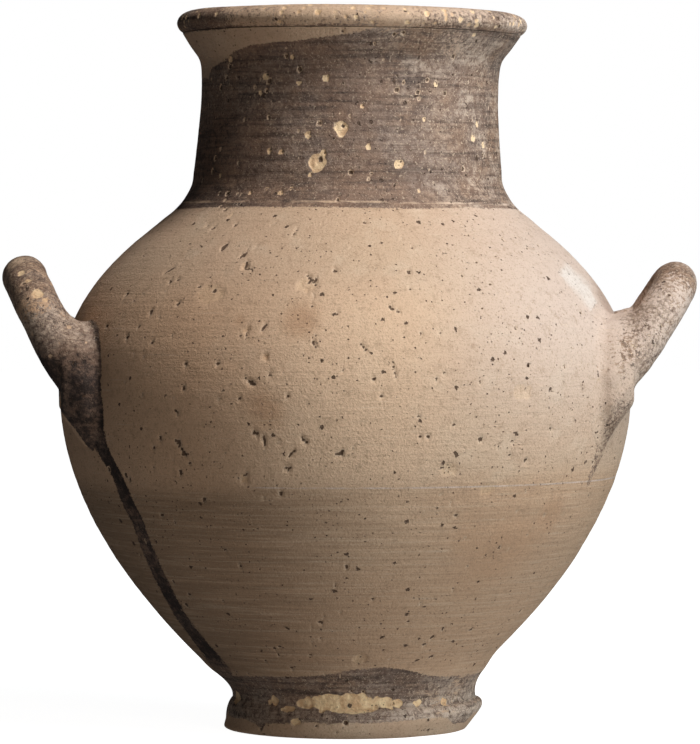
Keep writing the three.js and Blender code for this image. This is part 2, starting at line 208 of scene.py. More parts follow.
def section(node):
    front = meridian(node, lambda p: -p[1], 0)
    side = meridian(node, lambda p: p[0], 1)
    radius = -front[:, 1]
    tilt = (side[:, 2] - front[:, 2]) / radius
    return np.column_stack([radius, front[:, 2], front[:, 0], tilt])


class Line:
    """A smooth line through rows, with a parameter that is about the length along it."""

    def __init__(self, rows):
        self.rows = np.asarray(rows)
        steps = np.linalg.norm(np.diff(self.rows[:, :2], axis=0), axis=1)
        self.knots = np.concatenate([[0], np.cumsum(steps)])
        self.slopes = np.gradient(self.rows, self.knots, axis=0)
        self.length = self.knots[-1]

    def at(self, where):
        where = np.clip(where, 0, self.length)
        i = np.clip(np.searchsorted(self.knots, where, side="right") - 1, 0, len(self.knots) - 2)
        step = (self.knots[i + 1] - self.knots[i])[:, None]
        t = (where - self.knots[i])[:, None] / step
        start = (1 + 2 * t) * (1 - t) ** 2 * self.rows[i] + t * (1 - t) ** 2 * step * self.slopes[i]
        end = t * t * (3 - 2 * t) * self.rows[i + 1] + t * t * (t - 1) * step * self.slopes[i + 1]
        return start + end

    def reach(self, height):
        """Parameter at which a rising line comes to a height."""
        where = np.linspace(0, self.length, REACH_SAMPLES)
        return np.interp(height, self.at(where)[:, 1], where)

    def stretch(self, start, end, step):
        count = max(2, round(abs(end - start) / step) + 1)
        return self.at(np.linspace(start, end, count))


def upto(rows, column):
    """Rows up to the one with the largest value in a column."""
    return rows[: np.argmax(rows[:, column]) + 1]


sections = {node: section(node) for node in TURNED}


BODY_CLEARANCE = 4 * MM  # how far above the low fillet the body's own profile begins
NECK_CLEARANCE = 2 * MM


def outside_line():
    """The pot's outline from the edge of its foot to the top of its neck."""
    foot = sections["foot_ring"]
    foot = foot[foot[:, 0] > sections["foot_fillet"][0, 0]]
    low_fillet = upto(sections["foot_fillet"], 1)[1:-1]
    lower = upto(sections["lower_body"], 0)
    lower = lower[lower[:, 1] > low_fillet[-1, 1] + BODY_CLEARANCE]
    high_fillet = upto(sections["neck_fillet"], 1)[2:-1]
    upper = upto(sections["upper_body"], 1)[:-1]
    neck = upto(sections["neck"], 1)
    neck = neck[neck[:, 1] > high_fillet[-1, 1] + NECK_CLEARANCE]
    return Line(np.concatenate([foot, low_fillet, lower, upper, high_fillet, neck]))


outline = outside_line()


def joint(below, above):
    """Height of the joint between two pieces: the middle of the gap between their profiles."""
    top = upto(sections[below], 1)[-1, 1]
    bottom = sections[above][:, 1].min()
    return (top + bottom) / 2


SEAM_RISE = 0.14 * MM  # about half of the gap between the two halves of the body
FOOT_TOP = joint("foot_ring", "foot_fillet")
FILLET_TOP = sections["foot_fillet"][:, 1].max()
SEAM = upto(sections["lower_body"], 0)[-1, 1] + SEAM_RISE
NECK_TOE = sections["neck_fillet"][:, 1].min()
NECK_HEAD = sections["neck_fillet"][:, 1].max()
NECK_TOP = joint("neck", "lip_bead")

turns = np.linspace(-math.pi, math.pi, COLUMNS, endpoint=False)
ANGLES = turns - FRONT_DENSITY * np.sin(turns)


def ringed(rows, angles):
    """Points on the rings of a profile's rows, row by row."""
    radius, height, shift, tilt = (rows[:, i, None] for i in range(4))
    x = radius * np.sin(angles)
    y = -radius * np.cos(angles)
    return np.stack([x + shift, y, height + tilt * x], axis=2)


TINY = 1e-12


def grid_normals(grid):
    along = np.gradient(grid, axis=0)
    around = np.roll(grid, -1, axis=1) - np.roll(grid, 1, axis=1)
    normals = np.cross(around, along)
    return normals / np.maximum(np.linalg.norm(normals, axis=2, keepdims=True), TINY)


def band_faces(first, rows, columns, axis_row=None):
    """Quads between the rings of a band. After the axis row it goes on as another surface."""
    faces = []
    for row in range(rows - 1):
        a = first + row * columns
        if row == axis_row:
            faces.append(tuple(range(a, a + columns)))
            faces.append(tuple(range(a + 2 * columns - 1, a + columns - 1, -1)))
            continue
        for i in range(columns):
            j = (i + 1) % columns
            faces.append((a + i, a + j, a + columns + j, a + columns + i))
    return faces


def bridge_faces(fine, coarse, columns, share, upwards):
    """Faces between a ring of many corners and one of few."""
    faces = []
    for i in range(columns // share):
        many = [fine + (i * share + k) % columns for k in range(share + 1)]
        few = [coarse + (i + 1) % (columns // share), coarse + i]
        face = many + few
        faces.append(face if upwards else face[::-1])
    return faces


# Marks of wear on the outside
FULL_DEPTH = 0.7 * MM  # depth from which a mark counts as fully open
MARK_RAGGEDNESS = 0.35  # of the mark's radius
MARK_REACH = 1.5  # how many radii away a ragged edge may still lie
FLAT_EDGE = 0.25  # share of the radius over which a flat mark's edge falls
CRUMBLE = 0.5
CRUMB_SIZE = 1.4 * MM
SPALL_FLATNESS = 0.2  # marks flatter than this are spalls


class Marks:
    """Pits, chips and spalls, each a place, a radius, a depth, a flatness of its floor and a stretch."""

    def __init__(self):
        self.items = []

    def add(self, place, radius, depth, flatness=0.0, stretch=1.0):
        self.items.append((np.array(place), radius, depth, flatness, stretch))

    def press(self, points, normals):
        """Moves the points in, and gives how open the pit and how open the spall is at each."""
        tree = KDTree(len(points))
        for i, point in enumerate(points):
            tree.insert(point, i)
        tree.balance()
        drop = np.zeros(len(points))
        shares = {"pit": np.zeros(len(points)), "spall": np.zeros(len(points))}
        for place, radius, depth, flatness, stretch in self.items:
            found = tree.find_range(place, radius * MARK_REACH * stretch)
            if not found:
                continue
            index = np.array([i for _, i, _ in found])
            away = (points[index] - place) / np.array([stretch, stretch, 1])
            edge = radius * (1 + MARK_RAGGEDNESS * noise(points[index], radius * 0.7, 5))
            near = np.clip(1 - np.linalg.norm(away, axis=1) / edge, 0, 1)
            bowl = 1 - (1 - near) ** 2
            flat = smoothstep(near, 0, FLAT_EDGE)
            crumbled = 1 + flatness * CRUMBLE * noise(points[index], CRUMB_SIZE, 6)
            here = depth * (flatness * flat + (1 - flatness) * bowl) * crumbled
            drop[index] = np.maximum(drop[index], here)
            share = shares["spall" if flatness > SPALL_FLATNESS else "pit"]
            share[index] = np.maximum(share[index], np.minimum(1, here / FULL_DEPTH))
        return points - normals * drop[:, None], shares


# Places in the photograph of the marks that stand out, as x, y and width in its pixels
NECK_CHIPS = [
    (230, 60, 7), (265, 76, 8), (260, 93, 6), (292, 57, 5), (299, 83, 6), (326, 78, 7), (340, 129, 15),
    (308, 135, 8), (316, 163, 20), (323, 154, 8), (368, 147, 7), (281, 152, 6), (269, 151, 6),
    (399, 164, 10), (473, 138, 9), (483, 145, 7), (477, 124, 6), (436, 85, 5), (474, 35, 6),
    (250, 193, 5), (280, 193, 6), (267, 188, 5), (291, 188, 4), (310, 175, 5), (419, 191, 4),
    (220, 175, 5), (231, 216, 7), (362, 106, 5), (424, 119, 5),
]
BODY_PITS = [
    (247, 331, 9), (241, 336, 5), (266, 357, 8), (218, 364, 6), (186, 364, 6), (152, 342, 5),
    (173, 336, 5), (143, 395, 5), (270, 374, 6), (251, 383, 6), (189, 463, 5), (244, 479, 9),
    (281, 493, 6), (257, 434, 6), (288, 469, 5), (213, 228, 6), (223, 247, 6), (244, 255, 7),
    (246, 266, 9), (515, 237, 5), (503, 240, 5), (476, 262, 5), (409, 272, 6), (462, 276, 5),
    (490, 284, 6), (410, 289, 5), (482, 308, 5), (515, 329, 6), (421, 334, 5), (571, 347, 5),
    (444, 373, 7), (517, 364, 5), (551, 392, 6), (572, 410, 5), (419, 417, 6), (428, 437, 6),
    (480, 439, 7), (498, 446, 5), (550, 429, 6), (510, 455, 5), (443, 629, 6), (424, 645, 6),
    (408, 622, 5), (342, 455, 5), (307, 290, 8), (316, 279, 6),
]
BODY_SPALLS = [(211, 295, 22), (522, 392, 17), (488, 489, 14), (447, 470, 14), (359, 659, 12), (307, 284, 15)]
BODY_CUTS = [
    ((247, 262), (245, 268)), ((245, 268), (253, 270)), ((240, 258), (246, 253)), ((246, 379), (255, 384)),
    ((176, 441), (186, 456)), ((440, 466), (453, 474)), ((266, 325), (262, 331)), ((393, 367), (396, 377)),
    ((361, 344), (367, 351)), ((308, 276), (318, 286)), ((165, 273), (174, 268)), ((222, 250), (227, 244)),
    ((264, 438), (265, 446)), ((280, 368), (283, 373)), ((314, 294), (313, 300)), ((390, 307), (393, 309)),
    ((397, 311), (400, 313)), ((313, 342), (316, 347)), ((302, 438), (307, 443)), ((289, 456), (295, 451)),
    ((336, 455), (342, 452)), ((285, 469), (291, 467)), ((239, 478), (248, 474)), ((246, 336), (249, 326)),
]
FOOT_CHIPS = [(270, 702, 6), (286, 709, 6), (396, 702, 6), (415, 703, 5), (420, 701, 5), (444, 701, 6)]
FOOT_SPALLS = [
    (346, 704, 18, 6), (330, 701, 16, 3), (357, 700, 14, 3), (275, 701, 11, 1), (397, 703, 9, 1.3),
    (238, 698, 14, 1.5), (418, 703, 7, 1.4), (444, 702, 9, 1.2), (296, 722, 8, 1.5), (288, 709, 6, 3),
]
PIXEL = 0.4 * MM  # size of a pixel of the photograph at the pot
HALF = PIXEL / 2  # radius of a mark to each pixel of its width
CUT_RADIUS = 0.85 * MM
CUT_DEPTH = 0.9 * MM
CUT_SPACING = 2  # pixels from one small pit of a cut to the next
NECK_HOLE_DEPTH = 1.3 * MM
SPALL_DEPTH = 0.4 * MM
SPALL_HOLE_DEPTH = 1.2 * MM
FOOT_CHIP_DEPTH = 0.4 * MM
FOOT_SPALL_DEPTH = 0.45 * MM
LARGE_PIT = 8  # width in pixels from which a pit's floor is flatter and its depth grows no more


def named_marks():
    """The marks of the turned pieces that stand out in the photograph."""
    marks = Marks()
    for x, y, width in NECK_CHIPS:
        marks.add(seen(x, y), width * HALF, (0.3 + 0.01 * width) * MM, 0.7)
        marks.add(seen(x + width / 5, y - width / 5), width * PIXEL / 6, NECK_HOLE_DEPTH)
    for x, y, width in BODY_PITS:
        depth = (0.5 + 0.05 * min(width, LARGE_PIT)) * MM
        marks.add(seen(x, y), width * HALF, depth, 0.1 if width < LARGE_PIT else 0.5)
    for x, y, width in BODY_SPALLS:
        marks.add(seen(x, y), width * HALF, SPALL_DEPTH, 0.9, 1.4)
        marks.add(seen(x + width / 6, y - width / 6), width * PIXEL / 7, SPALL_HOLE_DEPTH)
    for start, end in BODY_CUTS:
        count = 1 + round(math.dist(start, end) / CUT_SPACING)
        for x, y in np.linspace(start, end, count):
            marks.add(seen(x, y), CUT_RADIUS, CUT_DEPTH)
    for x, y, width in FOOT_CHIPS:
        marks.add(seen(x, y), width * HALF, FOOT_CHIP_DEPTH, 0.4)
    for x, y, width, stretch in FOOT_SPALLS:
        marks.add(seen(x, y), width * HALF, FOOT_SPALL_DEPTH, 0.8, stretch)
    return marks


SCATTER_RADII = (0.45, 0.9)  # in millimetres
SCATTER_LARGEST = 1.3 * MM
SCATTER_DEEPEST = 0.9 * MM
LIP_CHIPS = 220
LIP_RADII = (0.5, 1.5)


def scatter(marks, count, low, high):
    """Adds small pits all round between two heights."""
    for _ in range(count):
        height = rng.uniform(low, high)
        angle = rng.uniform(-math.pi, math.pi)
        row = outline.at(np.array([outline.reach(height)]))
        radius = min(SCATTER_LARGEST, rng.uniform(*SCATTER_RADII) * MM * (1 + rng.exponential(0.35)))
        place = ringed(row, np.array([angle]))[0, 0]
        marks.add(place, radius, min(SCATTER_DEEPEST, radius * rng.uniform(0.4, 1.0)))


def lip_chips():
    """Crumbled places all round the lip."""
    marks = Marks()
    lip = sections["lip_bead"]
    for _ in range(LIP_CHIPS):
        row = lip[rng.integers(2, 8)]
        place = ringed(row[None], np.array([rng.uniform(-math.pi, math.pi)]))[0, 0]
        radius = rng.uniform(*LIP_RADII) * MM
        marks.add(place, radius, radius * rng.uniform(0.15, 0.4), 0.3)
    return marks


def room(points):
    """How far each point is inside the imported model's box."""
    low, high = (np.array(corner) for corner in cad_bounds)
    return np.minimum(points - low, high - points).min(axis=1)


# Relief of the thrown and turned clay, as the height of each pattern
BROAD_RELIEF = 0.14 * MM
RING_RELIEF = 0.05 * MM
FINE_RING_RELIEF = 0.025 * MM
TURNED_RELIEF = 0.05 * MM  # how much higher both kinds of rings are in the turned zone
GRAIN_RELIEF = 0.03 * MM
RING_LENGTH = 0.08  # share of the noise's pace that is left round the pot


def relief(points):
    """Height of the surface over the smooth profile, along the outward normal."""
    around = points * np.array([RING_LENGTH, RING_LENGTH, 1])
    turned = TURNED_RELIEF * band(points[:, 2], 66, 76, 96, 106)
    lift = BROAD_RELIEF * rough(points, 26 * MM, 31, 2)
    lift += (RING_RELIEF + turned) * rough(around, 5 * MM, 11, 3)
    lift += (FINE_RING_RELIEF + turned) * rough(around, 1.6 * MM, 21, 2)
    lift += GRAIN_RELIEF * rough(points, 2.4 * MM, 41, 2)
    return np.minimum(lift, room(points))


# Edges of the slip, as x and y in the photograph's pixels, and the widths of its runs
NECK_SLIP_TOP = [
    (209, 79), (211, 69), (224, 60), (232, 51), (248, 44), (290, 42), (312, 39), (335, 35), (359, 30),
    (378, 26), (430, 24), (490, 26),
]
FOOT_SLIP_TOP = [
    (236, 676), (307, 676), (353, 671), (380, 668), (403, 669), (416, 673), (426, 676), (449, 677),
    (470, 674),
]
FOOT_SLIP_LOW = [
    (234, 717), (244, 719), (256, 724), (262, 731), (266, 723), (300, 722), (350, 722), (400, 721),
    (446, 718), (453, 724), (465, 722), (473, 713),
]
LEFT_DRIP = [
    (80, 400, 34), (87, 413, 28), (94, 428, 20), (100, 444, 14), (108, 460, 11), (117, 475, 10),
    (121, 485, 11), (128, 503, 12), (137, 520, 12), (146, 545, 12), (157, 571, 12), (180, 615, 12),
    (205, 648, 13), (224, 672, 17),
]
RIGHT_DRIP = [(614, 400, 17), (609, 420, 14), (603, 440, 10), (596, 462, 6), (588, 484, 3)]
RECESS = 41 * MM  # radius of the hollow under the foot, in which there is no slip
EDGE_WAVE = 0.5 * MM
EDGE_RIPPLE = 0.25 * MM


def edge_level(pixels, points):
    """Height of a slip edge at each point's angle round the pot."""
    places = np.array([seen(x, y) for x, y in pixels])
    angles, edge_angles = (np.arctan2(p[:, 0], -p[:, 1]) for p in (points, places))
    return np.interp(angles, edge_angles, places[:, 2], period=2 * math.pi)


def slip_depth(points):
    """How far in from the slip's edge each point lies, in millimetres, and less than 0 beside the slip."""
    height = points[:, 2]
    wave = EDGE_WAVE * noise(points, 22 * MM, 51) + EDGE_RIPPLE * noise(points, 7 * MM, 52)
    low_edge = seen(350, 207.5)[2]
    neck = np.minimum(height - low_edge + wave, edge_level(NECK_SLIP_TOP, points) - height + 2 * wave)
    foot_top = edge_level(FOOT_SLIP_TOP, points)
    foot_low = edge_level(FOOT_SLIP_LOW, points)
    foot = np.minimum(foot_top - height + wave, height - foot_low + 1.5 * wave)
    foot = np.where(np.hypot(points[:, 0], points[:, 1]) < RECESS, -MM, foot)
    lip = height - NECK_TOP + wave
    depth = np.maximum(np.maximum(neck, foot), lip)
    for pixels in (LEFT_DRIP, RIGHT_DRIP):
        depth = np.maximum(depth, drip_depth(points, pixels) + 0.6 * wave)
    for side, (tree, reach) in handle_slip.items():
        near = reach - distances(tree, points) + 2 * wave
        depth = np.maximum(depth, np.minimum(near, inside_root_edge(side, points) + wave))
    return depth / MM


# Edges of the slip on the handles' roots, as x and y in the photograph's pixels
ROOT_EDGES = {
    "left": [(106, 300), (106, 390), (108, 407), (110, 432), (112, 448), (118, 480)],
    "right": [(610, 300), (606, 335), (602, 365), (597, 400), (592, 440), (585, 485)],
}
LEFT_UNDER_EDGE = [(58, 400), (70, 413), (82, 428), (92, 444), (102, 460), (112, 475)]
ROOT_PLANE = -26 * MM  # the front roots' place between front and back


def on_root_plane(x, y):
    """Where the sight line through a pixel meets the upright plane through the front roots."""
    ray = sight(x, y)
    return CAMERA_PLACE + ray * ((ROOT_PLANE - CAMERA_PLACE.y) / ray.y)


def edge_at(points, pixels):
    """Sideways place of an edge on the handles' roots, at the height of each point."""
    places = np.array([on_root_plane(x, y) for x, y in pixels])[::-1]
    return np.interp(points[:, 2], places[:, 2], places[:, 0])


def inside_root_edge(side, points):
    """How far points are from the slip's edge on a handle's root, positive on the handle's side."""
    inside = edge_at(points, ROOT_EDGES[side]) - points[:, 0]
    if side == "right":
        return -inside
    top = on_root_plane(*LEFT_UNDER_EDGE[0])[2]
    over = points[:, 0] - edge_at(points, LEFT_UNDER_EDGE)
    return np.minimum(inside, np.where(points[:, 2] < top, over, inside))


BESIDE = -1.0  # depth given to points that are nowhere near a run


def drip_depth(points, pixels):
    """Distance in from the edge of a run on the pot's front, as seen from the front."""
    places = np.array([seen(x, y)[[0, 2]] for x, y, _ in pixels])
    halves = np.array([width * HALF for _, _, width in pixels])
    flat = points[:, [0, 2]]
    depth = np.full(len(points), BESIDE)
    for a, b, half_a, half_b in zip(places, places[1:], halves, halves[1:]):
        step = b - a
        t = np.clip((flat - a) @ step / (step @ step), 0, 1)
        away = np.linalg.norm(flat - a - t[:, None] * step, axis=1)
        depth = np.maximum(depth, half_a + t * (half_b - half_a) - away)
    return np.where(points[:, 1] < 0, depth, BESIDE)


# Coloured places of the clay, as x, y and width in the photograph's pixels
PALE_PATCH = [(566, 271, 14), (576, 281, 20), (586, 293, 18), (594, 305, 12), (602, 322, 3)]
BLUSHES = [(500, 545, 140), (548, 515, 60), (300, 320, 60), (262, 405, 60), (240, 321, 22)]


def pale_patch(points):
    """Share of the whitish patch on the right shoulder."""
    ragged = 1.2 * MM * rough(points, 6 * MM, 81, 2)
    return fade(drip_depth(points, PALE_PATCH) + ragged, -1, 2)


def blush(points):
    """Share of the reddish places."""
    share = np.zeros(len(points))
    for x, y, width in BLUSHES:
        away = np.linalg.norm(points - seen(x, y), axis=1) / (width * HALF)
        share = np.maximum(share, 1 - smoothstep(away + 0.3 * noise(points, 12 * MM, 82), 0.1, 1))
    return share


FAR = 20 * MM


def distances(tree, points):
    """Distance of each point to a surface, or FAR where it isn't near."""
    found = (tree.find_nearest(Vector(p), FAR)[3] for p in points)
    return np.array([FAR if d is None else d for d in found])


HANDLES = {
    side: (f"{side}_handle", f"{side}_front_root_pad", f"{side}_back_root_pad") for side in ("left", "right")
}
# Each handle's surface, and how far its slip runs over the wall
handle_slip = {"left": (tree_of(*HANDLES["left"]), 1.6 * MM), "right": (tree_of(*HANDLES["right"]), 0.8 * MM)}

# Share of the slip that is rubbed away in each zone, and how much more or less at its places
BODY_WEAR = 0.06
NECK_WEAR = {"all": 0.27, "middle": 0.07, "right": 0.2, "haze": 0.26}
FOOT_WEAR = {"all": 0.46, "right": 0.16}
LIP_WEAR = {"all": 0.48, "middle": 0.5, "right": -0.12}
LEFT_WEAR = {"all": 0.04, "top": 0.82, "clouds": 0.16, "fine": 0.1}
RIGHT_WEAR = {"all": 0.97, "clouds": 0.1, "top": -0.08, "low": -0.12, "root": 0.2}
RIGHT_RUN_WEAR = 0.88
CLOUD_WEAR = 0.18
MOST_WEAR = 1.4
LIP_FADE = 1.5 * MM
NECK_FADE = 8 * MM
FOOT_FADE = 8 * MM
LEFT_CANT = 0.15  # how much further down the left loop's wear comes for each step to the right
LEFT_MIDDLE = -115 * MM

# Share of pale dust that lies in the slip in each zone
LEDGE_DUST = {"all": 0.2, "right": 0.5, "left": 0.15}
FOOT_BAND_DUST = 0.35
LOOP_DUST = 0.42
NECK_TOP_DUST = 0.4
NECK_RIGHT_DUST = 0.35


def weighted(weights, **places):
    """What a zone has everywhere, and more or less of it by the share of each of its places."""
    total = weights["all"]
    for name, share in places.items():
        total = total + weights[name] * share
    return total


def wear(points):
    """How much of the slip is rubbed away, from nothing to all. Places go by millimetres across and up."""
    x = points[:, 0]
    height = points[:, 2]
    lip = smoothstep(height, NECK_TOP - LIP_FADE, NECK_TOP + LIP_FADE)
    neck = smoothstep(height, NECK_TOE - NECK_FADE, NECK_TOE) - lip
    foot = 1 - smoothstep(height, FILLET_TOP, FILLET_TOP + FOOT_FADE)
    right = fade(x, -20, 50)
    haze = fade(height, 262, 270) * band(x, -8, 12, 38, 56)
    on_neck = weighted(NECK_WEAR, middle=fade(x, -62, -20), right=right, haze=haze)
    on_lip = weighted(LIP_WEAR, middle=fade(x, -60, -44), right=fade(x, 5, 40))
    worn = BODY_WEAR + neck * on_neck + foot * weighted(FOOT_WEAR, right=right) + lip * on_lip
    worn = np.clip(worn + CLOUD_WEAR * rough(points, 18 * MM, 61, 2), 0, MOST_WEAR)
    faint = fade(drip_depth(points, RIGHT_DRIP), -2, 0)
    worn = worn + faint * (RIGHT_RUN_WEAR - worn)
    for side, (tree, _) in handle_slip.items():
        near = 1 - fade(distances(tree, points), 2, 12)
        worn = worn + near * (handle_wear(side, points) - worn)
    return worn


def handle_wear(side, points):
    """Left the slip is rubbed at the loop's top only, right it is worn to specks all over."""
    height = points[:, 2]
    clouds = rough(points, 12 * MM, 71, 2)
    if side == "right":
        low = 1 - fade(height, 120, 135)
        root = 1 - fade(inside_root_edge(side, points), 0, 7)
        worn = weighted(RIGHT_WEAR, clouds=clouds, top=fade(height, 170, 180), low=low, root=root)
    else:
        top = fade(height + LEFT_CANT * (points[:, 0] - LEFT_MIDDLE), 143, 167)
        worn = weighted(LEFT_WEAR, top=top, clouds=clouds, fine=rough(points, 4 * MM, 73, 2))
    return np.clip(worn, 0, MOST_WEAR)


def dust(points):
    """How much pale dust lies in the slip: on the foot, the left loop and, in wisps, the neck's right."""
    x = points[:, 0]
    height = points[:, 2]
    ledge = weighted(LEDGE_DUST, right=fade(x, 5, 35), left=1 - fade(x, -45, -30))
    ledge = ledge * band(height, 3, 6, 12, 17)
    foot_band = FOOT_BAND_DUST * fade(x, 22, 42) * band(height, 11, 14, 20, 26)
    loop = LOOP_DUST * band(height, 148, 161, 165, 176) * (1 - fade(x, -106, -95))
    neck = smoothstep(height, NECK_TOE - NECK_FADE, NECK_TOE) - fade(height, 272, 276)
    wisps = smoothstep(rough(points, 9 * MM, 91, 3), -0.1, 0.5)
    top_right = NECK_TOP_DUST * fade(height, 250, 262) * fade(x, -5, 20)
    on_neck = neck * wisps * np.maximum(top_right, NECK_RIGHT_DUST * fade(x, 25, 50))
    return ledge + foot_band + loop + on_neck


SHARP_ANGLE = math.radians(55)


def new_piece(name, points, faces, slot, replaced, values, rim_normals=None):
    """A smooth mesh with per-point values, riding on the pot and standing for its nodes."""
    data = bpy.data.meshes.new(name)
    data.from_pydata(points.tolist(), [], faces)
    data.update()
    data.shade_smooth()
    data.set_sharp_from_angle(angle=SHARP_ANGLE)
    if rim_normals is not None:
        data.normals_split_custom_set_from_vertices(rim_normals)
    for label, value in values.items():
        attribute = data.attributes.new(label, "FLOAT", "POINT")
        attribute.data.foreach_set("value", value.astype(np.float32))
    data.materials.append(materials[slot])
    piece = placed(name, data)
    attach(piece, "root")
    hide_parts(*replaced)
    return piece


class Skin:
    """Rings of the outside with their relief and marks, their normals, and the depth of the marks."""

    def __init__(self, rows, marks):
        grid = ringed(rows, ANGLES)
        normals = grid_normals(grid).reshape(-1, 3)
        points = grid.reshape(-1, 3)
        points = points + normals * relief(points)[:, None]
        points, shares = marks.press(points, normals)
        self.rows = rows
        self.grid = points.reshape(grid.shape)
        self.normals = grid_normals(self.grid)
        self.shares = {name: share.reshape(grid.shape[:2]) for name, share in shares.items()}

    def part(self, first, last):
        """The rings from one to another, both included."""
        part = object.__new__(Skin)
        rings = slice(first, last + 1)
        part.rows, part.grid = self.rows[rings], self.grid[rings]
        part.normals = self.normals[rings]
        part.shares = {name: share[rings] for name, share in self.shares.items()}
        return part


INSIDE_RELIEF = 0.8  # of the outside's


def turned_piece(name, slot, replaced, skin, backing, axis_row=None):
    """A closed piece: fine rings outside, coarse ones behind, joined at both ends."""
    few = COLUMNS // INSIDE_SHARE
    behind = ringed(backing, ANGLES[::INSIDE_SHARE])
    normals = grid_normals(behind).reshape(-1, 3)
    inside = behind.reshape(-1, 3)
    inside = inside + normals * relief(inside)[:, None] * INSIDE_RELIEF
    outside = skin.grid.reshape(-1, 3)
    first = len(outside)
    last_ring = first - COLUMNS
    faces = band_faces(0, len(skin.rows), COLUMNS)
    faces += band_faces(first, len(backing), few, axis_row)
    faces += bridge_faces(last_ring, first, COLUMNS, INSIDE_SHARE, True)
    faces += bridge_faces(0, first + (len(backing) - 1) * few, COLUMNS, INSIDE_SHARE, False)
    points = np.concatenate([outside, inside])
    rims = np.zeros((len(points), 3))
    rims[:COLUMNS] = skin.normals[0]
    rims[last_ring:first] = skin.normals[-1]
    values = {"slip": slip_depth(points), "wear": wear(points), "dust": dust(points)}
    values |= {"pale": pale_patch(points), "blush": blush(points)}
    for label, share in skin.shares.items():
        values[label] = np.concatenate([share.ravel(), np.zeros(len(inside))])
    return new_piece(name, points, faces, slot, replaced, values, rims)


RIM_DEPTH = 1 * MM
RIM_SINK = 0.4 * MM
CORNER_BEND = math.radians(35)  # bend from which a corner stays sharp


def drawn_in(rim, inner):
    """The rim's row brought a little way towards its neighbour, so that it stays under the outside."""
    length = np.linalg.norm(inner[:2] - rim[:2])
    sunk = rim + (inner - rim) * min(0.5, RIM_DEPTH / length)
    sunk[0] -= RIM_SINK
    return sunk


def runs(*parts):
    """Rows of a profile's hidden and inner sides, smooth between its sharp corners."""
    rows = np.concatenate([np.atleast_2d(part) for part in parts])
    rows[0] = drawn_in(rows[0], rows[1])
    rows[-1] = drawn_in(rows[-1], rows[-2])
    steps = np.diff(rows[:, :2], axis=0)
    headings = np.arctan2(steps[:, 1], steps[:, 0])
    bends = np.abs((np.diff(headings) + math.pi) % (2 * math.pi) - math.pi)
    corners = [0, *(np.nonzero(bends > CORNER_BEND)[0] + 1), len(rows) - 1]
    pieces = []
    for a, b in zip(corners, corners[1:]):
        part = rows[a : b + 1]
        line = Line(part) if len(part) > 2 else Line(np.array([part[0], part.mean(0), part[1]]))
        pieces.append(line.stretch(0, line.length, INSIDE_STEP)[: None if b == corners[-1] else -1])
    return np.concatenate(pieces)


def outside_rows():
    """Rows of the whole outside, and the place among them of each joint between pieces."""
    heights = (FOOT_TOP, FILLET_TOP, SEAM, NECK_TOE, NECK_HEAD)
    ends = [0, *(outline.reach(height) for height in heights), outline.length]
    steps = (FOOT_STEP, FOOT_STEP, BODY_STEP, BODY_STEP, NECK_STEP, NECK_STEP)
    rows = [outline.rows[:1]]
    joints = [0]
    for start, end, step in zip(ends, ends[1:], steps):
        rows.append(outline.stretch(start, end, step)[1:])
        joints.append(joints[-1] + len(rows[-1]))
    return np.concatenate(rows), joints


def after_largest(rows, column):
    return rows[np.argmax(rows[:, column]) + 1 :]


FILLET_BACKING = 0.6 * MM  # how far the neck is drawn in behind its fillet
AXIS_RADIUS = 0.3 * MM


def axis_end(row):
    """The row's ring drawn in nearly to the axis."""
    return np.array([AXIS_RADIUS, row[1], row[2], 0])


def turned_pieces(marks):
    """The six pieces under the lip, whose outsides are cut from one skin."""
    rows, joints = outside_rows()
    whole = Skin(rows, marks)
    skins = [whole.part(first, last) for first, last in zip(joints, joints[1:])]
    foot, fillet, bowl, dome, neck_fillet, wall = (sections[node] for node in TURNED[:-1])
    outer = skins[2].rows
    bowl_inside = runs(outer[-1], after_largest(bowl, 0)[:-1], axis_end(bowl[-2]))
    bowl_underside = runs(axis_end(bowl[0]), bowl[:3], outer[0])
    under_fillet = wall[:2] - np.array([FILLET_BACKING, 0, 0, 0])
    pieces = [
        ("foot", "banded_foot", foot[-3:], foot[0]),
        ("foot_fillet_clay", "banded_foot", fillet[-2:], fillet[0]),
        ("lower_body_clay", "bare_clay"),
        ("upper_body_clay", "bare_clay", dome[np.argmax(dome[:, 1]) :]),
        ("neck_fillet_clay", "dark_slip", after_largest(neck_fillet, 1)),
        ("neck_wall", "dark_slip", after_largest(wall, 1), under_fillet),
    ]
    for node, skin, (name, slot, *behind) in zip(TURNED, skins, pieces):
        if behind:
            turned_piece(name, slot, [node], skin, runs(skin.rows[-1], *behind, skin.rows[0]))
        else:
            backing = np.concatenate([bowl_inside, bowl_underside])
            turned_piece(name, slot, [node], skin, backing, len(bowl_inside) - 1)


def lip_piece(marks):
    rows = sections["lip_bead"]
    bead = Line(np.concatenate([rows[1:], rows[:1]]))
    lip = Skin(bead.stretch(0, bead.length, LIP_STEP), marks)
    turned_piece("lip", "worn_lip", ["lip_bead"], lip, runs(lip.rows[-1], lip.rows[0]))


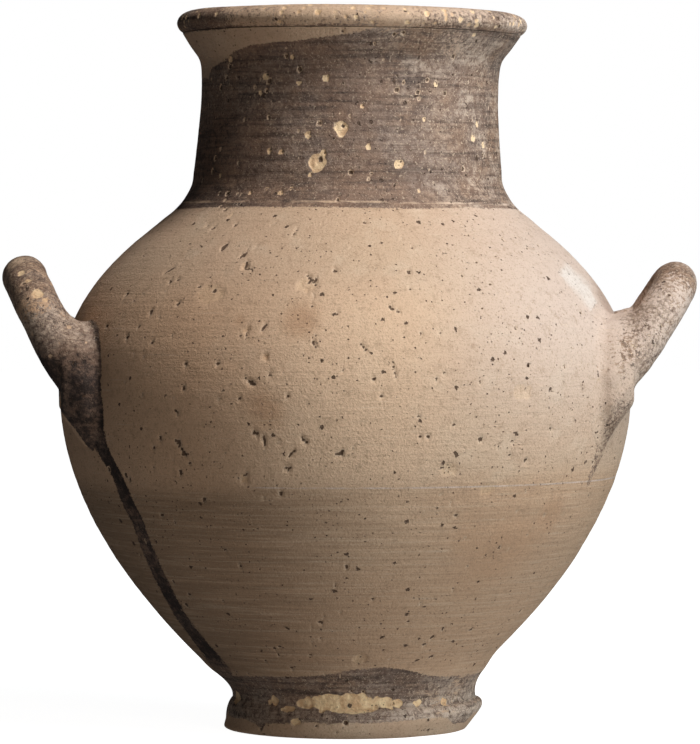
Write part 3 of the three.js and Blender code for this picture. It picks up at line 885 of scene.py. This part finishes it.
# Handles: the loop and its two root pads grown together, as smoothed clay
HANDLE_GROWTH = 0.25 * MM
ROOT_DEPTH = 2.5 * MM  # how far the handle's root is carried into the wall
ROOT_TOUCH = 0.7 * MM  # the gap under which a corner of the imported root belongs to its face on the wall
SMOOTHING = 8
SMOOTHING_FACTOR = 0.5
WELD_DISTANCE = 0.01 * MM
HANDLE_WAVE = 0.3 * MM
HANDLE_GRAIN = 0.07 * MM
FLARE_HEIGHT = 4 * MM
FLARES = {"left": 1.8 * MM, "right": 8 * MM}
MERGE_START = 0.3 * MM
MERGE_HEIGHT = 2 * MM
HANDLE_PITS = 24
HANDLE_PIT_RADII = (0.6, 1.5)  # in millimetres
HANDLE_CHIP_DEPTH = 0.45 * MM
HANDLE_HOLE_DEPTH = 1.4 * MM
HANDLE_CHIPS = [(21, 273, 9), (28, 281, 6), (37, 294, 12), (45, 300, 6)]
HANDLE_HOLES = [(669.5, 294.5, 5), (24, 283, 4), (29, 299, 3), (43, 305, 3), (672, 306, 3), (655, 347, 3)]
handle_tree = tree_of(*HANDLES["left"], *HANDLES["right"])


def handle_mesh(nodes):
    joined = bmesh.new()
    for node in nodes:
        joined.from_mesh(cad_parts[node].data)
    bmesh.ops.remove_doubles(joined, verts=joined.verts, dist=WELD_DISTANCE)
    bmesh.ops.recalc_face_normals(joined, faces=joined.faces)
    joined.normal_update()
    gaps, out = wall_gaps(np.array([v.co for v in joined.verts]))
    for vertex, gap, direction in zip(joined.verts, gaps, out):
        if gap < ROOT_TOUCH:
            vertex.co = vertex.co - Vector(direction) * (ROOT_DEPTH + gap)
        else:
            vertex.co = vertex.co + vertex.normal * HANDLE_GROWTH
    data = bpy.data.meshes.new("handle_source")
    joined.to_mesh(data)
    joined.free()
    return data


def mesh_of(points, faces):
    data = bpy.data.meshes.new("handle_source")
    data.from_pydata(points.tolist(), [], faces)
    return data


def remeshed(data):
    """Points, normals and faces of the mesh grown into one skin and smoothed."""
    source = placed("handle_source", data)
    remesh = source.modifiers.new("remesh", "REMESH")
    remesh.mode = "VOXEL"
    remesh.voxel_size = HANDLE_VOXEL
    smooth = source.modifiers.new("smooth", "SMOOTH")
    smooth.factor = SMOOTHING_FACTOR
    smooth.iterations = SMOOTHING
    result = bpy.data.meshes.new_from_object(source.evaluated_get(bpy.context.evaluated_depsgraph_get()))
    points = np.array([v.co for v in result.vertices])
    normals = np.array([v.normal for v in result.vertices])
    faces = [tuple(p.vertices) for p in result.polygons]
    bpy.data.objects.remove(source)
    return points, normals, faces


def wall_gaps(points):
    """How far points are outside the pot's outline, and the direction straight out from it."""
    reach = np.linspace(0, outline.length, GAP_SAMPLES)
    rows = outline.at(reach)
    radius, shift = (np.interp(points[:, 2], rows[:, 1], rows[:, i]) for i in (0, 2))
    slope = np.interp(points[:, 2], rows[:, 1], np.gradient(rows[:, 0]) / np.gradient(rows[:, 1]))
    away = points[:, :2] - np.stack([shift, 0 * shift], axis=1)
    distance = np.linalg.norm(away, axis=1)
    out = np.column_stack([away / distance[:, None], -slope])
    lengths = np.linalg.norm(out, axis=1)
    return (distance - radius) / lengths, out / lengths[:, None]


def flared(points, normals, flare):
    """The handle's skin drawn out along the wall where it comes to it, as clay smoothed with a finger."""
    gaps, out = wall_gaps(points)
    along = normals - (normals * out).sum(axis=1)[:, None] * out
    share = np.clip(1 - gaps / FLARE_HEIGHT, 0, 1)
    deep = np.clip(1 + gaps / ROOT_DEPTH, 0, 1)
    return points + along * (flare * share**3 * deep)[:, None]


def handle_skin(side):
    points, normals, faces = remeshed(handle_mesh(HANDLES[side]))
    points, normals, faces = remeshed(mesh_of(flared(points, normals, FLARES[side]), faces))
    lift = HANDLE_WAVE * rough(points, 14 * MM, 61, 2) + HANDLE_GRAIN * rough(points, 2.5 * MM, 62, 2)
    points = points + normals * lift[:, None]
    points, shares = handle_marks(points).press(points, normals)
    points = np.clip(points, *(np.array(corner) for corner in cad_bounds))
    values = {"slip": slip_depth(points), "wear": handle_wear(side, points), "dust": dust(points), **shares}
    merged = merged_normals(points, normals)
    return new_piece(f"{side}_handle_skin", points, faces, "handle_slip", HANDLES[side], values, merged)


def merged_normals(points, normals):
    """Normals turned towards the wall's where the handle's skin comes to it, and none elsewhere."""
    gaps, out = wall_gaps(points)
    share = 1 - smoothstep(np.abs(gaps), MERGE_START, MERGE_HEIGHT)
    mixed = normals + (out - normals) * share[:, None]
    mixed = mixed / np.linalg.norm(mixed, axis=1, keepdims=True)
    return np.where(np.abs(gaps)[:, None] < MERGE_HEIGHT, mixed, 0)


def handle_marks(points):
    """Pits scattered over a handle, and the marks of both handles that stand out in the photograph."""
    marks = Marks()
    for i in rng.choice(len(points), HANDLE_PITS, replace=False):
        radius = rng.uniform(*HANDLE_PIT_RADII) * MM
        marks.add(points[i], radius, radius * rng.uniform(0.2, 0.5))
    chips = (HANDLE_CHIPS, HANDLE_CHIP_DEPTH, 0.5)
    holes = (HANDLE_HOLES, HANDLE_HOLE_DEPTH, 0)
    for places, depth, flatness in (chips, holes):
        for x, y, width in places:
            place = handle_tree.ray_cast(CAMERA_PLACE, sight(x, y))[0]
            marks.add(place, width * HALF, depth, flatness)
    return marks


# Materials
class Nodes:
    """Nodes of a material or of the world, made in short steps."""

    def __init__(self, owner):
        owner.use_nodes = True
        self.tree = owner.node_tree

    def put(self, socket, value):
        if isinstance(value, bpy.types.NodeSocket):
            self.tree.links.new(value, socket)
        elif isinstance(value, tuple) and len(value) == 3 and socket.type == "RGBA":
            socket.default_value = (*value, 1)
        else:
            socket.default_value = value

    def new(self, kind, inputs=(), **settings):
        """A new node, whose inputs are given values or the outputs of other nodes."""
        node = self.tree.nodes.new(f"ShaderNode{kind}")
        for label, setting in settings.items():
            setattr(node, label, setting)
        for label, value in dict(inputs).items():
            self.put(node.inputs[label], value)
        return node

    def by_ray(self, lit, viewed):
        """One shader in the light that is thrown back, and another where the camera looks."""
        camera = self.new("LightPath").outputs["Is Camera Ray"]
        return self.new("MixShader", {"Fac": camera, 1: lit, 2: viewed}).outputs["Shader"]


class Shader(Nodes):
    """Nodes of one material, with patterns drawn from the place of each point."""

    def __init__(self, name):
        self.material = bpy.data.materials.new(name)
        super().__init__(self.material)
        self.surface = self.tree.nodes["Principled BSDF"]
        self.place = self.new("TexCoord").outputs["Object"]

    def axis(self, letter):
        return self.new("SeparateXYZ", {"Vector": self.place}).outputs[letter]

    def value(self, name):
        return self.new("Attribute", attribute_name=name).outputs["Fac"]

    def stretched(self, across):
        """Coordinates in which patterns are drawn out across the pot."""
        scale = (1 / across, 1 / across, 1)
        return self.new("Mapping", {"Vector": self.place, "Scale": scale}).outputs["Vector"]

    def shaken(self, size, strength):
        """Coordinates pushed about at random, which makes round spots ragged."""
        push = self.new("TexNoise", {"Vector": self.place, "Scale": 1 / size}).outputs["Color"]
        inputs = {0: push, 1: (2 * strength,) * 3, 2: self.place}
        return self.new("VectorMath", inputs, operation="MULTIPLY_ADD").outputs["Vector"]

    def noise(self, size, detail=3, where=None, roughness=0.55):
        inputs = {"Vector": where or self.place, "Scale": 1 / size, "Detail": detail, "Roughness": roughness}
        return self.new("TexNoise", inputs).outputs["Fac"]

    def cells(self, size, where):
        """Distance to the middle of the nearest cell, and a random value of the cell."""
        node = self.new("TexVoronoi", {"Vector": where, "Scale": 1 / size})
        split = self.new("SeparateColor", {"Color": node.outputs["Color"]})
        return node.outputs["Distance"], split.outputs["Red"]

    def maths(self, operation, *values, clamp=False):
        inputs = dict(enumerate(values))
        return self.new("Math", inputs, operation=operation, use_clamp=clamp).outputs["Value"]

    def times(self, *values, clamp=False):
        """Product of two or more values."""
        *first, last = values
        product = first[0] if len(first) == 1 else self.times(*first)
        return self.maths("MULTIPLY", product, last, clamp=clamp)

    def plus(self, first, second):
        return self.maths("ADD", first, second)

    def minus(self, first, second, clamp=False):
        return self.maths("SUBTRACT", first, second, clamp=clamp)

    def larger(self, first, second):
        return self.maths("MAXIMUM", first, second)

    def apart(self, first, second):
        return self.maths("ABSOLUTE", self.minus(first, second))

    def swing(self, pattern, strength):
        """A pattern's swing to both sides of its middle."""
        return self.times(self.minus(pattern, 0.5), strength)

    def span(self, value, low, high, start=0.0, end=1.0):
        """A value brought smoothly from between low and high to between start and end."""
        inputs = {"Value": value, "From Min": low, "From Max": high, "To Min": start, "To Max": end}
        return self.new("MapRange", inputs, interpolation_type="SMOOTHSTEP").outputs["Result"]

    def along(self, letter, low, high, start=0.0, end=1.0):
        """A share that changes between two places across or up the pot, in millimetres."""
        return self.span(self.axis(letter), low * MM, high * MM, start, end)

    def mix(self, share, first, second):
        return self.new("Mix", {"Factor": share, "A": first, "B": second}, data_type="RGBA").outputs["Result"]

    def over(self, colour, *layers):
        """A colour with others laid over it in turn, each by its share."""
        for share, tone in layers:
            colour = self.mix(share, colour, tone)
        return colour

    def bump(self, height, distance):
        node = self.new("Bump", {"Height": height, "Distance": distance})
        self.put(self.surface.inputs["Normal"], node.outputs["Normal"])

    def glowing(self, tone, strength):
        """A grey matt surface that also gives off light."""
        matt = self.new("BsdfDiffuse", {"Color": (tone,) * 3})
        light = self.new("Emission", {"Strength": strength})
        both = self.new("AddShader", {0: matt.outputs["BSDF"], 1: light.outputs["Emission"]})
        return both.outputs["Shader"]


# Colours
CLAY = (0.60, 0.42, 0.285)
# whitish tint of the painted highlight on the upper right, and of the turning tool's pale line
WHITISH_CLAY_AND_HIGHLIGHT = (0.63, 0.495, 0.415)
CLAY_PINK = (0.59, 0.40, 0.27)
CLAY_PALE = (0.68, 0.52, 0.375)
CLAY_BROWN = (0.33, 0.21, 0.13)
CLAY_WHITE = (0.75, 0.68, 0.62)
CLAY_ORANGE = (0.52, 0.315, 0.19)
CLAY_CORE = (0.98, 0.71, 0.42)
# warmer clay: the turned zone's own tone, and a painted shade tint on the left
CLAY_WARM_AND_SHADE = (0.63, 0.395, 0.245)
CLAY_LIGHT = (0.72, 0.495, 0.33)
CLAY_RUST = (0.72, 0.44, 0.24)
# dark fill of the pits and pin holes: painted shade in the hollows
PIT_PAINTED_SHADE = (0.09, 0.05, 0.03)
SLIP_BLACK = (0.036, 0.023, 0.019)
SLIP_DARK = (0.085, 0.055, 0.046)
SLIP_BROWN = (0.18, 0.106, 0.074)
SLIP_HAZE = (0.37, 0.275, 0.215)
SLIP_TAN = (0.35, 0.225, 0.15)
SLIP_DUST = (0.63, 0.49, 0.385)

# Places and strengths of what is drawn on the clay
LOW_TILT = 0.035  # how much the upper edge of the turned zone rises to the right
LOW_WOBBLE = 5 * MM
LOW_WOBBLE_SIZE = 30 * MM
BLUSH_STRENGTH = 0.85
PALE_STRENGTH = 0.75
TURNING_HEIGHT = seen(400, 488)[2]
RIDGE_HEIGHT = seen(350, 201.8)[2]
RIDGE_FALL = 0.0075  # how much the ridge falls to the right

# Sizes of the patterns in the clay
CLOUD_SIZE = 38 * MM
PATCH_SIZE = 14 * MM
MOTTLE_SIZE = 4 * MM
STREAK_SIZE = 1.6 * MM
GRAIN_SIZE = 0.8 * MM
LINE_SIZE = 0.7 * MM
SCRATCH_SIZE = 0.6 * MM
RAGGED_SIZE = 1.1 * MM
BREAK_SIZE = 2 * MM  # gaps in the pale lines
LINE_LENGTH = 60  # how many times longer round the pot than they are high
SCRATCH_LENGTH = 34
BREAK_LENGTH = 5

# Sizes of the patterns in the slip
SLIP_CLOUD_SIZE = 18 * MM
GREY_SIZE = 20 * MM
BRUSH_SIZE = 1.5 * MM
SCUFF_SIZE = 3 * MM
SCUFF_PUSH = 2 * MM
FLECK_SIZE = 0.9 * MM
SPECK_SIZE = 1.5 * MM

# Pin holes too small for the mesh: each kind's spacing, share of places that may have one, and radius
FINE_HOLES = (2.1 * MM, 0.5, 0.42 * MM)
LARGE_HOLES = (4.6 * MM, 0.55, 0.9 * MM)
CLUSTER_HOLES = (1.5 * MM, 0.6, 0.36 * MM)
CLUSTER_SIZE = 16 * MM
HOLE_EDGE = 0.06  # softness of a hole's edge, as a share of the spacing
# how dark the pin holes are painted: painted shade
HOLE_SHARE = 0.92
HOLE_DROP = 4  # depth of the holes in the bump, where the clay's fine grain is 1
BUMP_HEIGHT = 0.32 * MM


def low_zone(shader):
    """Share of the turned zone under the belly."""
    level = shader.minus(shader.axis("Z"), shader.times(shader.axis("X"), LOW_TILT))
    level = shader.plus(level, shader.times(shader.noise(LOW_WOBBLE_SIZE, 2), LOW_WOBBLE))
    return shader.times(shader.span(level, 98 * MM, 110 * MM, 1, 0), shader.along("Z", 20, 28))


def warm_and_shade_share(shader, low):
    """Share of the warmer clay: on the left a painted shade tint, warmer where the light is weaker, and in
    the turned zone the clay's own warmer tone.
    """
    # Warmer on the left, away from the lights: painted shade tint
    left = shader.times(shader.along("X", -75, 10, 0.8, 0), shader.along("Z", 165, 190, 1, 0))
    return shader.larger(left, shader.times(low, 0.75))


def light_share(shader):
    """Share of the lighter clay in the middle of the belly."""
    middle = shader.span(shader.apart(shader.axis("X"), 0), 10 * MM, 52 * MM, 0.75, 0)
    return shader.times(middle, shader.along("Z", 165, 185, 1, 0), shader.along("Z", 55, 85))


def turning_line(shader):
    """Share of the long pale line that the turning tool left under the belly."""
    line = shader.span(shader.apart(shader.axis("Z"), TURNING_HEIGHT), 0.1 * MM, 0.5 * MM, 0.85, 0)
    broken = shader.span(shader.noise(BREAK_SIZE, 5, shader.stretched(BREAK_LENGTH), 0.7), 0.36, 0.54)
    return shader.times(line, broken, shader.along("X", -40, -30))


def clay_colour(shader, turned):
    """Bare clay: pinkish tan with broad clouds, turning streaks, dark and pale grains, a painted highlight on
    the upper right and painted shade on the left.
    """
    streaks = shader.noise(STREAK_SIZE, 5, shader.stretched(turned), 0.62)
    lines = shader.noise(LINE_SIZE, 3, shader.stretched(LINE_LENGTH), 0.7)
    scratches = shader.noise(SCRATCH_SIZE, 1, shader.stretched(SCRATCH_LENGTH))
    grains = shader.noise(GRAIN_SIZE, 3, roughness=0.7)
    # Paler, whiter clay towards the upper right: a painted highlight on the lit side
    painted_highlight = shader.times(shader.along("X", 5, 95), shader.along("Z", 95, 175))
    low = low_zone(shader)
    # Brown of the turned zone, stronger on the left: the clay's own brown, with painted shade on the side
    # away from the lights
    brown_and_painted_shade = shader.times(low, shader.along("X", -50, 25, 1.2, 0.3))
    colour = shader.over(
        CLAY,
        (shader.span(shader.noise(CLOUD_SIZE), 0.35, 0.65), CLAY_PINK),
        (shader.span(shader.noise(PATCH_SIZE, 4), 0.5, 0.75, 0, 0.55), CLAY_PALE),
        (painted_highlight, WHITISH_CLAY_AND_HIGHLIGHT),
        (warm_and_shade_share(shader, low), CLAY_WARM_AND_SHADE),
        (light_share(shader), CLAY_LIGHT),
        (shader.times(brown_and_painted_shade, shader.span(streaks, 0.3, 0.7, 0.55, 1.0), clamp=True), CLAY_BROWN),
        (shader.times(low, shader.span(lines, 0.5, 0.66, 0, 0.3)), CLAY_PALE),
        (shader.times(low, shader.span(lines, 0.34, 0.5, 0.3, 0)), CLAY_BROWN),
        (shader.times(shader.value("blush"), BLUSH_STRENGTH), CLAY_ORANGE),
        (turning_line(shader), WHITISH_CLAY_AND_HIGHLIGHT),
        (shader.times(shader.value("pale"), PALE_STRENGTH), CLAY_WHITE),
        (shader.span(streaks, 0.55, 0.8, 0, 0.22), CLAY_BROWN),
        (shader.span(scratches, 0.68, 0.76, 0, 0.35), CLAY_PALE),
        (shader.span(shader.noise(MOTTLE_SIZE, 7, roughness=0.78), 0.5, 0.7, 0, 0.5), CLAY_BROWN),
        (shader.span(grains, 0.54, 0.7, 0, 0.7), CLAY_BROWN),
        (shader.span(grains, 0.28, 0.42, 0.35, 0), CLAY_PALE),
    )
    return colour, streaks, grains


def slip_colour(shader, turned):
    """Dark slip: brushed bands, clouds, a haze of scratches where it is rubbed, and pale dust."""
    brushed = shader.noise(BRUSH_SIZE, 5, shader.stretched(turned), 0.65)
    scratches = shader.noise(SCUFF_SIZE, 7, shader.shaken(SCUFF_SIZE, SCUFF_PUSH), 0.85)
    flecks = shader.span(shader.noise(FLECK_SIZE, 3, roughness=0.8), 0.56, 0.66, 0, 1.3)
    worn = shader.value("wear")
    scuffed = shader.plus(worn, shader.swing(scratches, 2))
    hazy = shader.times(worn, shader.span(scratches, 0.4, 0.62, 0.15, 1.5))
    hazy = shader.times(hazy, shader.span(brushed, 0.35, 0.62, 0.45, 1.25), clamp=True)
    haze = shader.mix(shader.span(shader.noise(GREY_SIZE, 4), 0.4, 0.62), SLIP_TAN, SLIP_HAZE)
    dusty = shader.times(shader.value("dust"), shader.span(scratches, 0.42, 0.58, 0.1, 1.6))
    dusty = shader.times(dusty, shader.span(brushed, 0.38, 0.6, 0.5, 1.2), clamp=True)
    return shader.over(
        SLIP_DARK,
        (shader.span(shader.noise(SLIP_CLOUD_SIZE, 4), 0.3, 0.7), SLIP_BROWN),
        (shader.span(brushed, 0.45, 0.68, 0, 0.9), SLIP_BROWN),
        (shader.span(brushed, 0.32, 0.5, 0.7, 0), SLIP_BLACK),
        (shader.span(scuffed, 0, 0.26, 1, 0), SLIP_BLACK),
        (hazy, haze),
        (dusty, SLIP_DUST),
        (shader.times(flecks, worn, clamp=True), CLAY_PALE),
    )


def worn_ridge(shader):
    """Share of the thin pale line where the slip is rubbed off the ridge at the neck's foot."""
    level = shader.plus(shader.axis("Z"), shader.times(shader.axis("X"), RIDGE_FALL))
    line = shader.span(shader.apart(level, RIDGE_HEIGHT), 0.15 * MM, 0.7 * MM, 1, 0)
    broken = shader.span(shader.noise(BREAK_SIZE, 4, shader.stretched(BREAK_LENGTH)), 0.4, 0.6)
    return shader.times(line, broken)


def slip_cover(shader, fine, drawn_out):
    """Share of the slip that is left: inside its ragged edge, and less where it is worn off in specks."""
    edge = shader.plus(shader.value("slip"), shader.swing(fine, 2.4))
    specks = shader.noise(SPECK_SIZE, 6, shader.stretched(drawn_out), 0.78)
    loss = shader.plus(specks, shader.span(shader.value("wear"), 0.45, 1.4, 0, 0.45))
    kept = shader.minus(shader.span(loss, 0.70, 0.78, 1, 0), worn_ridge(shader), clamp=True)
    return shader.times(shader.span(edge, -0.25, 0.25), kept)


def small_pits(shader, cell, share, radius):
    """Pin holes of one kind, of all sizes up to the radius."""
    away, chance = shader.cells(cell, shader.shaken(cell / 4, cell / 4))
    size = shader.span(chance, 1 - share, 1.0, -HOLE_EDGE, radius / cell)
    return shader.maths("DIVIDE", shader.minus(size, away), HOLE_EDGE, clamp=True)


def pin_holes(shader):
    """Share of the pin holes of every kind."""
    spread = shader.larger(small_pits(shader, *FINE_HOLES), small_pits(shader, *LARGE_HOLES))
    clusters = shader.span(shader.noise(CLUSTER_SIZE), 0.48, 0.62)
    return shader.larger(spread, shader.times(small_pits(shader, *CLUSTER_HOLES), clusters))


def fired_clay(name, roughness, drawn_out=1, core=0.75, turned=23):
    """Bare clay where there is no slip or it is worn off, and slip elsewhere, with painted shade in its pits
    and pin holes.

    Its specks are drawn out round the pot and its streaks turned by so many times, and its spalls show
    so much of the pale core.
    """
    shader = Shader(name)
    clay, streaks, grains = clay_colour(shader, turned)
    slip = slip_colour(shader, turned)
    fine = shader.noise(RAGGED_SIZE, 3, roughness=0.7)
    pit = shader.value("pit")
    spall = shader.value("spall")
    torn = shader.plus(pit, shader.swing(fine, 1.2))
    rust = shader.mix(shader.span(shader.noise(MOTTLE_SIZE, 4), 0.42, 0.62, 0, 0.8), CLAY_CORE, CLAY_RUST)
    crumbs = shader.mix(shader.span(grains, 0.54, 0.68, 0, 0.45), rust, CLAY_BROWN)
    holes = pin_holes(shader)
    colour = shader.over(
        clay,
        (slip_cover(shader, fine, drawn_out), slip),
        (shader.span(shader.larger(pit, spall), 0.12, 0.3), clay),
        (shader.span(spall, 0.1, 0.4, 0, core), crumbs),
        # Pale ring round each pit: paler broken clay, and partly a painted highlight on the lit rim
        (shader.span(torn, 0.18, 0.34, 0, 0.35), CLAY_PALE),
        # Dark floors of the pits: painted shade in the hollows
        (shader.span(torn, 0.5, 0.66, 0, 0.9), PIT_PAINTED_SHADE),
        # Dark pin holes: painted shade in the hollows
        (shader.times(holes, HOLE_SHARE), PIT_PAINTED_SHADE),
    )
    height = shader.plus(fine, shader.times(streaks, 0.8))
    height = shader.plus(height, shader.times(grains, 0.6))
    shader.bump(shader.minus(height, shader.times(holes, HOLE_DROP)), BUMP_HEIGHT)
    shader.put(shader.surface.inputs["Base Color"], colour)
    shader.put(shader.surface.inputs["Roughness"], roughness)
    shader.put(shader.surface.inputs["Specular IOR Level"], 0.35)
    return shader.material


materials = {
    "bare_clay": fired_clay("bare_clay", 0.9, core=0.15),
    "dark_slip": fired_clay("dark_slip", 0.7),
    "worn_lip": fired_clay("worn_lip", 0.9),
    "handle_slip": fired_clay("handle_slip", 0.8, turned=1.6),
    "banded_foot": fired_clay("banded_foot", 0.85, drawn_out=5, core=1.0),
}


# Stage: a pale floor, soft studio light from the upper right, and a white world behind
FLOOR_HALF = 6
FLOOR_GLOW = 0.965  # what the camera sees of the floor near the pot where a shadow falls
FLOOR_GLOW_FADE = (0.12, 0.6)
FLOOR_SEEN_TONE = 0.6
FLOOR_TONE = 0.3  # how much light the floor throws back onto the pot
FLOOR_BOUNCE = 0.1  # more of it close to the foot
FLOOR_BOUNCE_FADE = (0.06, 0.15)
WORLD_LIGHT = 0.03
WHITE = (1, 1, 1)
LIGHT_TARGET = Vector((0, 0, 0.15))
LIGHT_DISTANCE = 1.4
LIGHT_SIZE = 0.5


def floor_material():
    """Nearly white in the picture, with soft shadows, and dim in the light it throws back."""
    shader = Shader("floor")
    shader.tree.nodes.remove(shader.surface)
    away = shader.new("VectorMath", {0: shader.place}, operation="LENGTH").outputs["Value"]
    low, high = FLOOR_BOUNCE_FADE
    near = {"Value": away, "From Min": low, "From Max": high, "To Min": FLOOR_BOUNCE, "To Max": 0}
    lit = shader.glowing(FLOOR_TONE, shader.new("MapRange", near).outputs["Result"])
    viewed = shader.glowing(FLOOR_SEEN_TONE, shader.span(away, *FLOOR_GLOW_FADE, FLOOR_GLOW, 1))
    shader.put(shader.tree.nodes["Material Output"].inputs["Surface"], shader.by_ray(lit, viewed))
    return shader.material


def add_floor():
    data = bpy.data.meshes.new("floor")
    turns = ((-1, -1), (1, -1), (1, 1), (-1, 1))
    corners = [(x * FLOOR_HALF, y * FLOOR_HALF, 0) for x, y in turns]
    data.from_pydata(corners, [], [(0, 1, 2, 3)])
    data.materials.append(floor_material())
    floor = placed("floor", data)
    floor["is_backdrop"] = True


def add_light(name, azimuth, elevation, power, colour):
    data = bpy.data.lights.new(name, "AREA")
    data.color = colour
    data.shape = "DISK"
    data.size = LIGHT_SIZE
    data.energy = power
    light = placed(name, data)
    turn = math.radians(azimuth)
    rise = math.radians(elevation)
    towards = Vector((math.sin(turn) * math.cos(rise), -math.cos(turn) * math.cos(rise), math.sin(rise)))
    light.location = LIGHT_TARGET + towards * LIGHT_DISTANCE
    light.rotation_euler = (-towards).to_track_quat("-Z", "Y").to_euler()


def add_world():
    """A faint light from all round, and plain white where the camera looks past the pot."""
    world = bpy.data.worlds.new("world")
    nodes = Nodes(world)
    nodes.tree.nodes.remove(nodes.tree.nodes["Background"])
    faint, plain = (
        nodes.new("Background", {"Color": WHITE, "Strength": strength}).outputs["Background"]
        for strength in (WORLD_LIGHT, 1)
    )
    nodes.put(nodes.tree.nodes["World Output"].inputs["Surface"], nodes.by_ray(faint, plain))
    bpy.context.scene.world = world


add_camera()
add_world()
add_floor()
add_light("key", 45, 55, 17, (1, 0.99, 0.98))
add_light("side", 62, 3, 9.2, (0.76, 0.91, 1))
add_light("fill", 26, 6, 3, (1, 0.93, 0.82))
bpy.context.scene.view_settings.view_transform = "Standard"

marks = named_marks()
scatter(marks, 230, FILLET_TOP, SEAM)
scatter(marks, 340, SEAM, NECK_TOE)
scatter(marks, 160, NECK_TOE, NECK_TOP)
scatter(marks, 40, 1 * MM, FILLET_TOP)
turned_pieces(marks)
lip_piece(lip_chips())
handle_skin("left")
handle_skin("right")

boxes = {"cad": cad_bounds, "visual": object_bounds()}
{name: [list(corner) for corner in box] for name, box in boxes.items()}
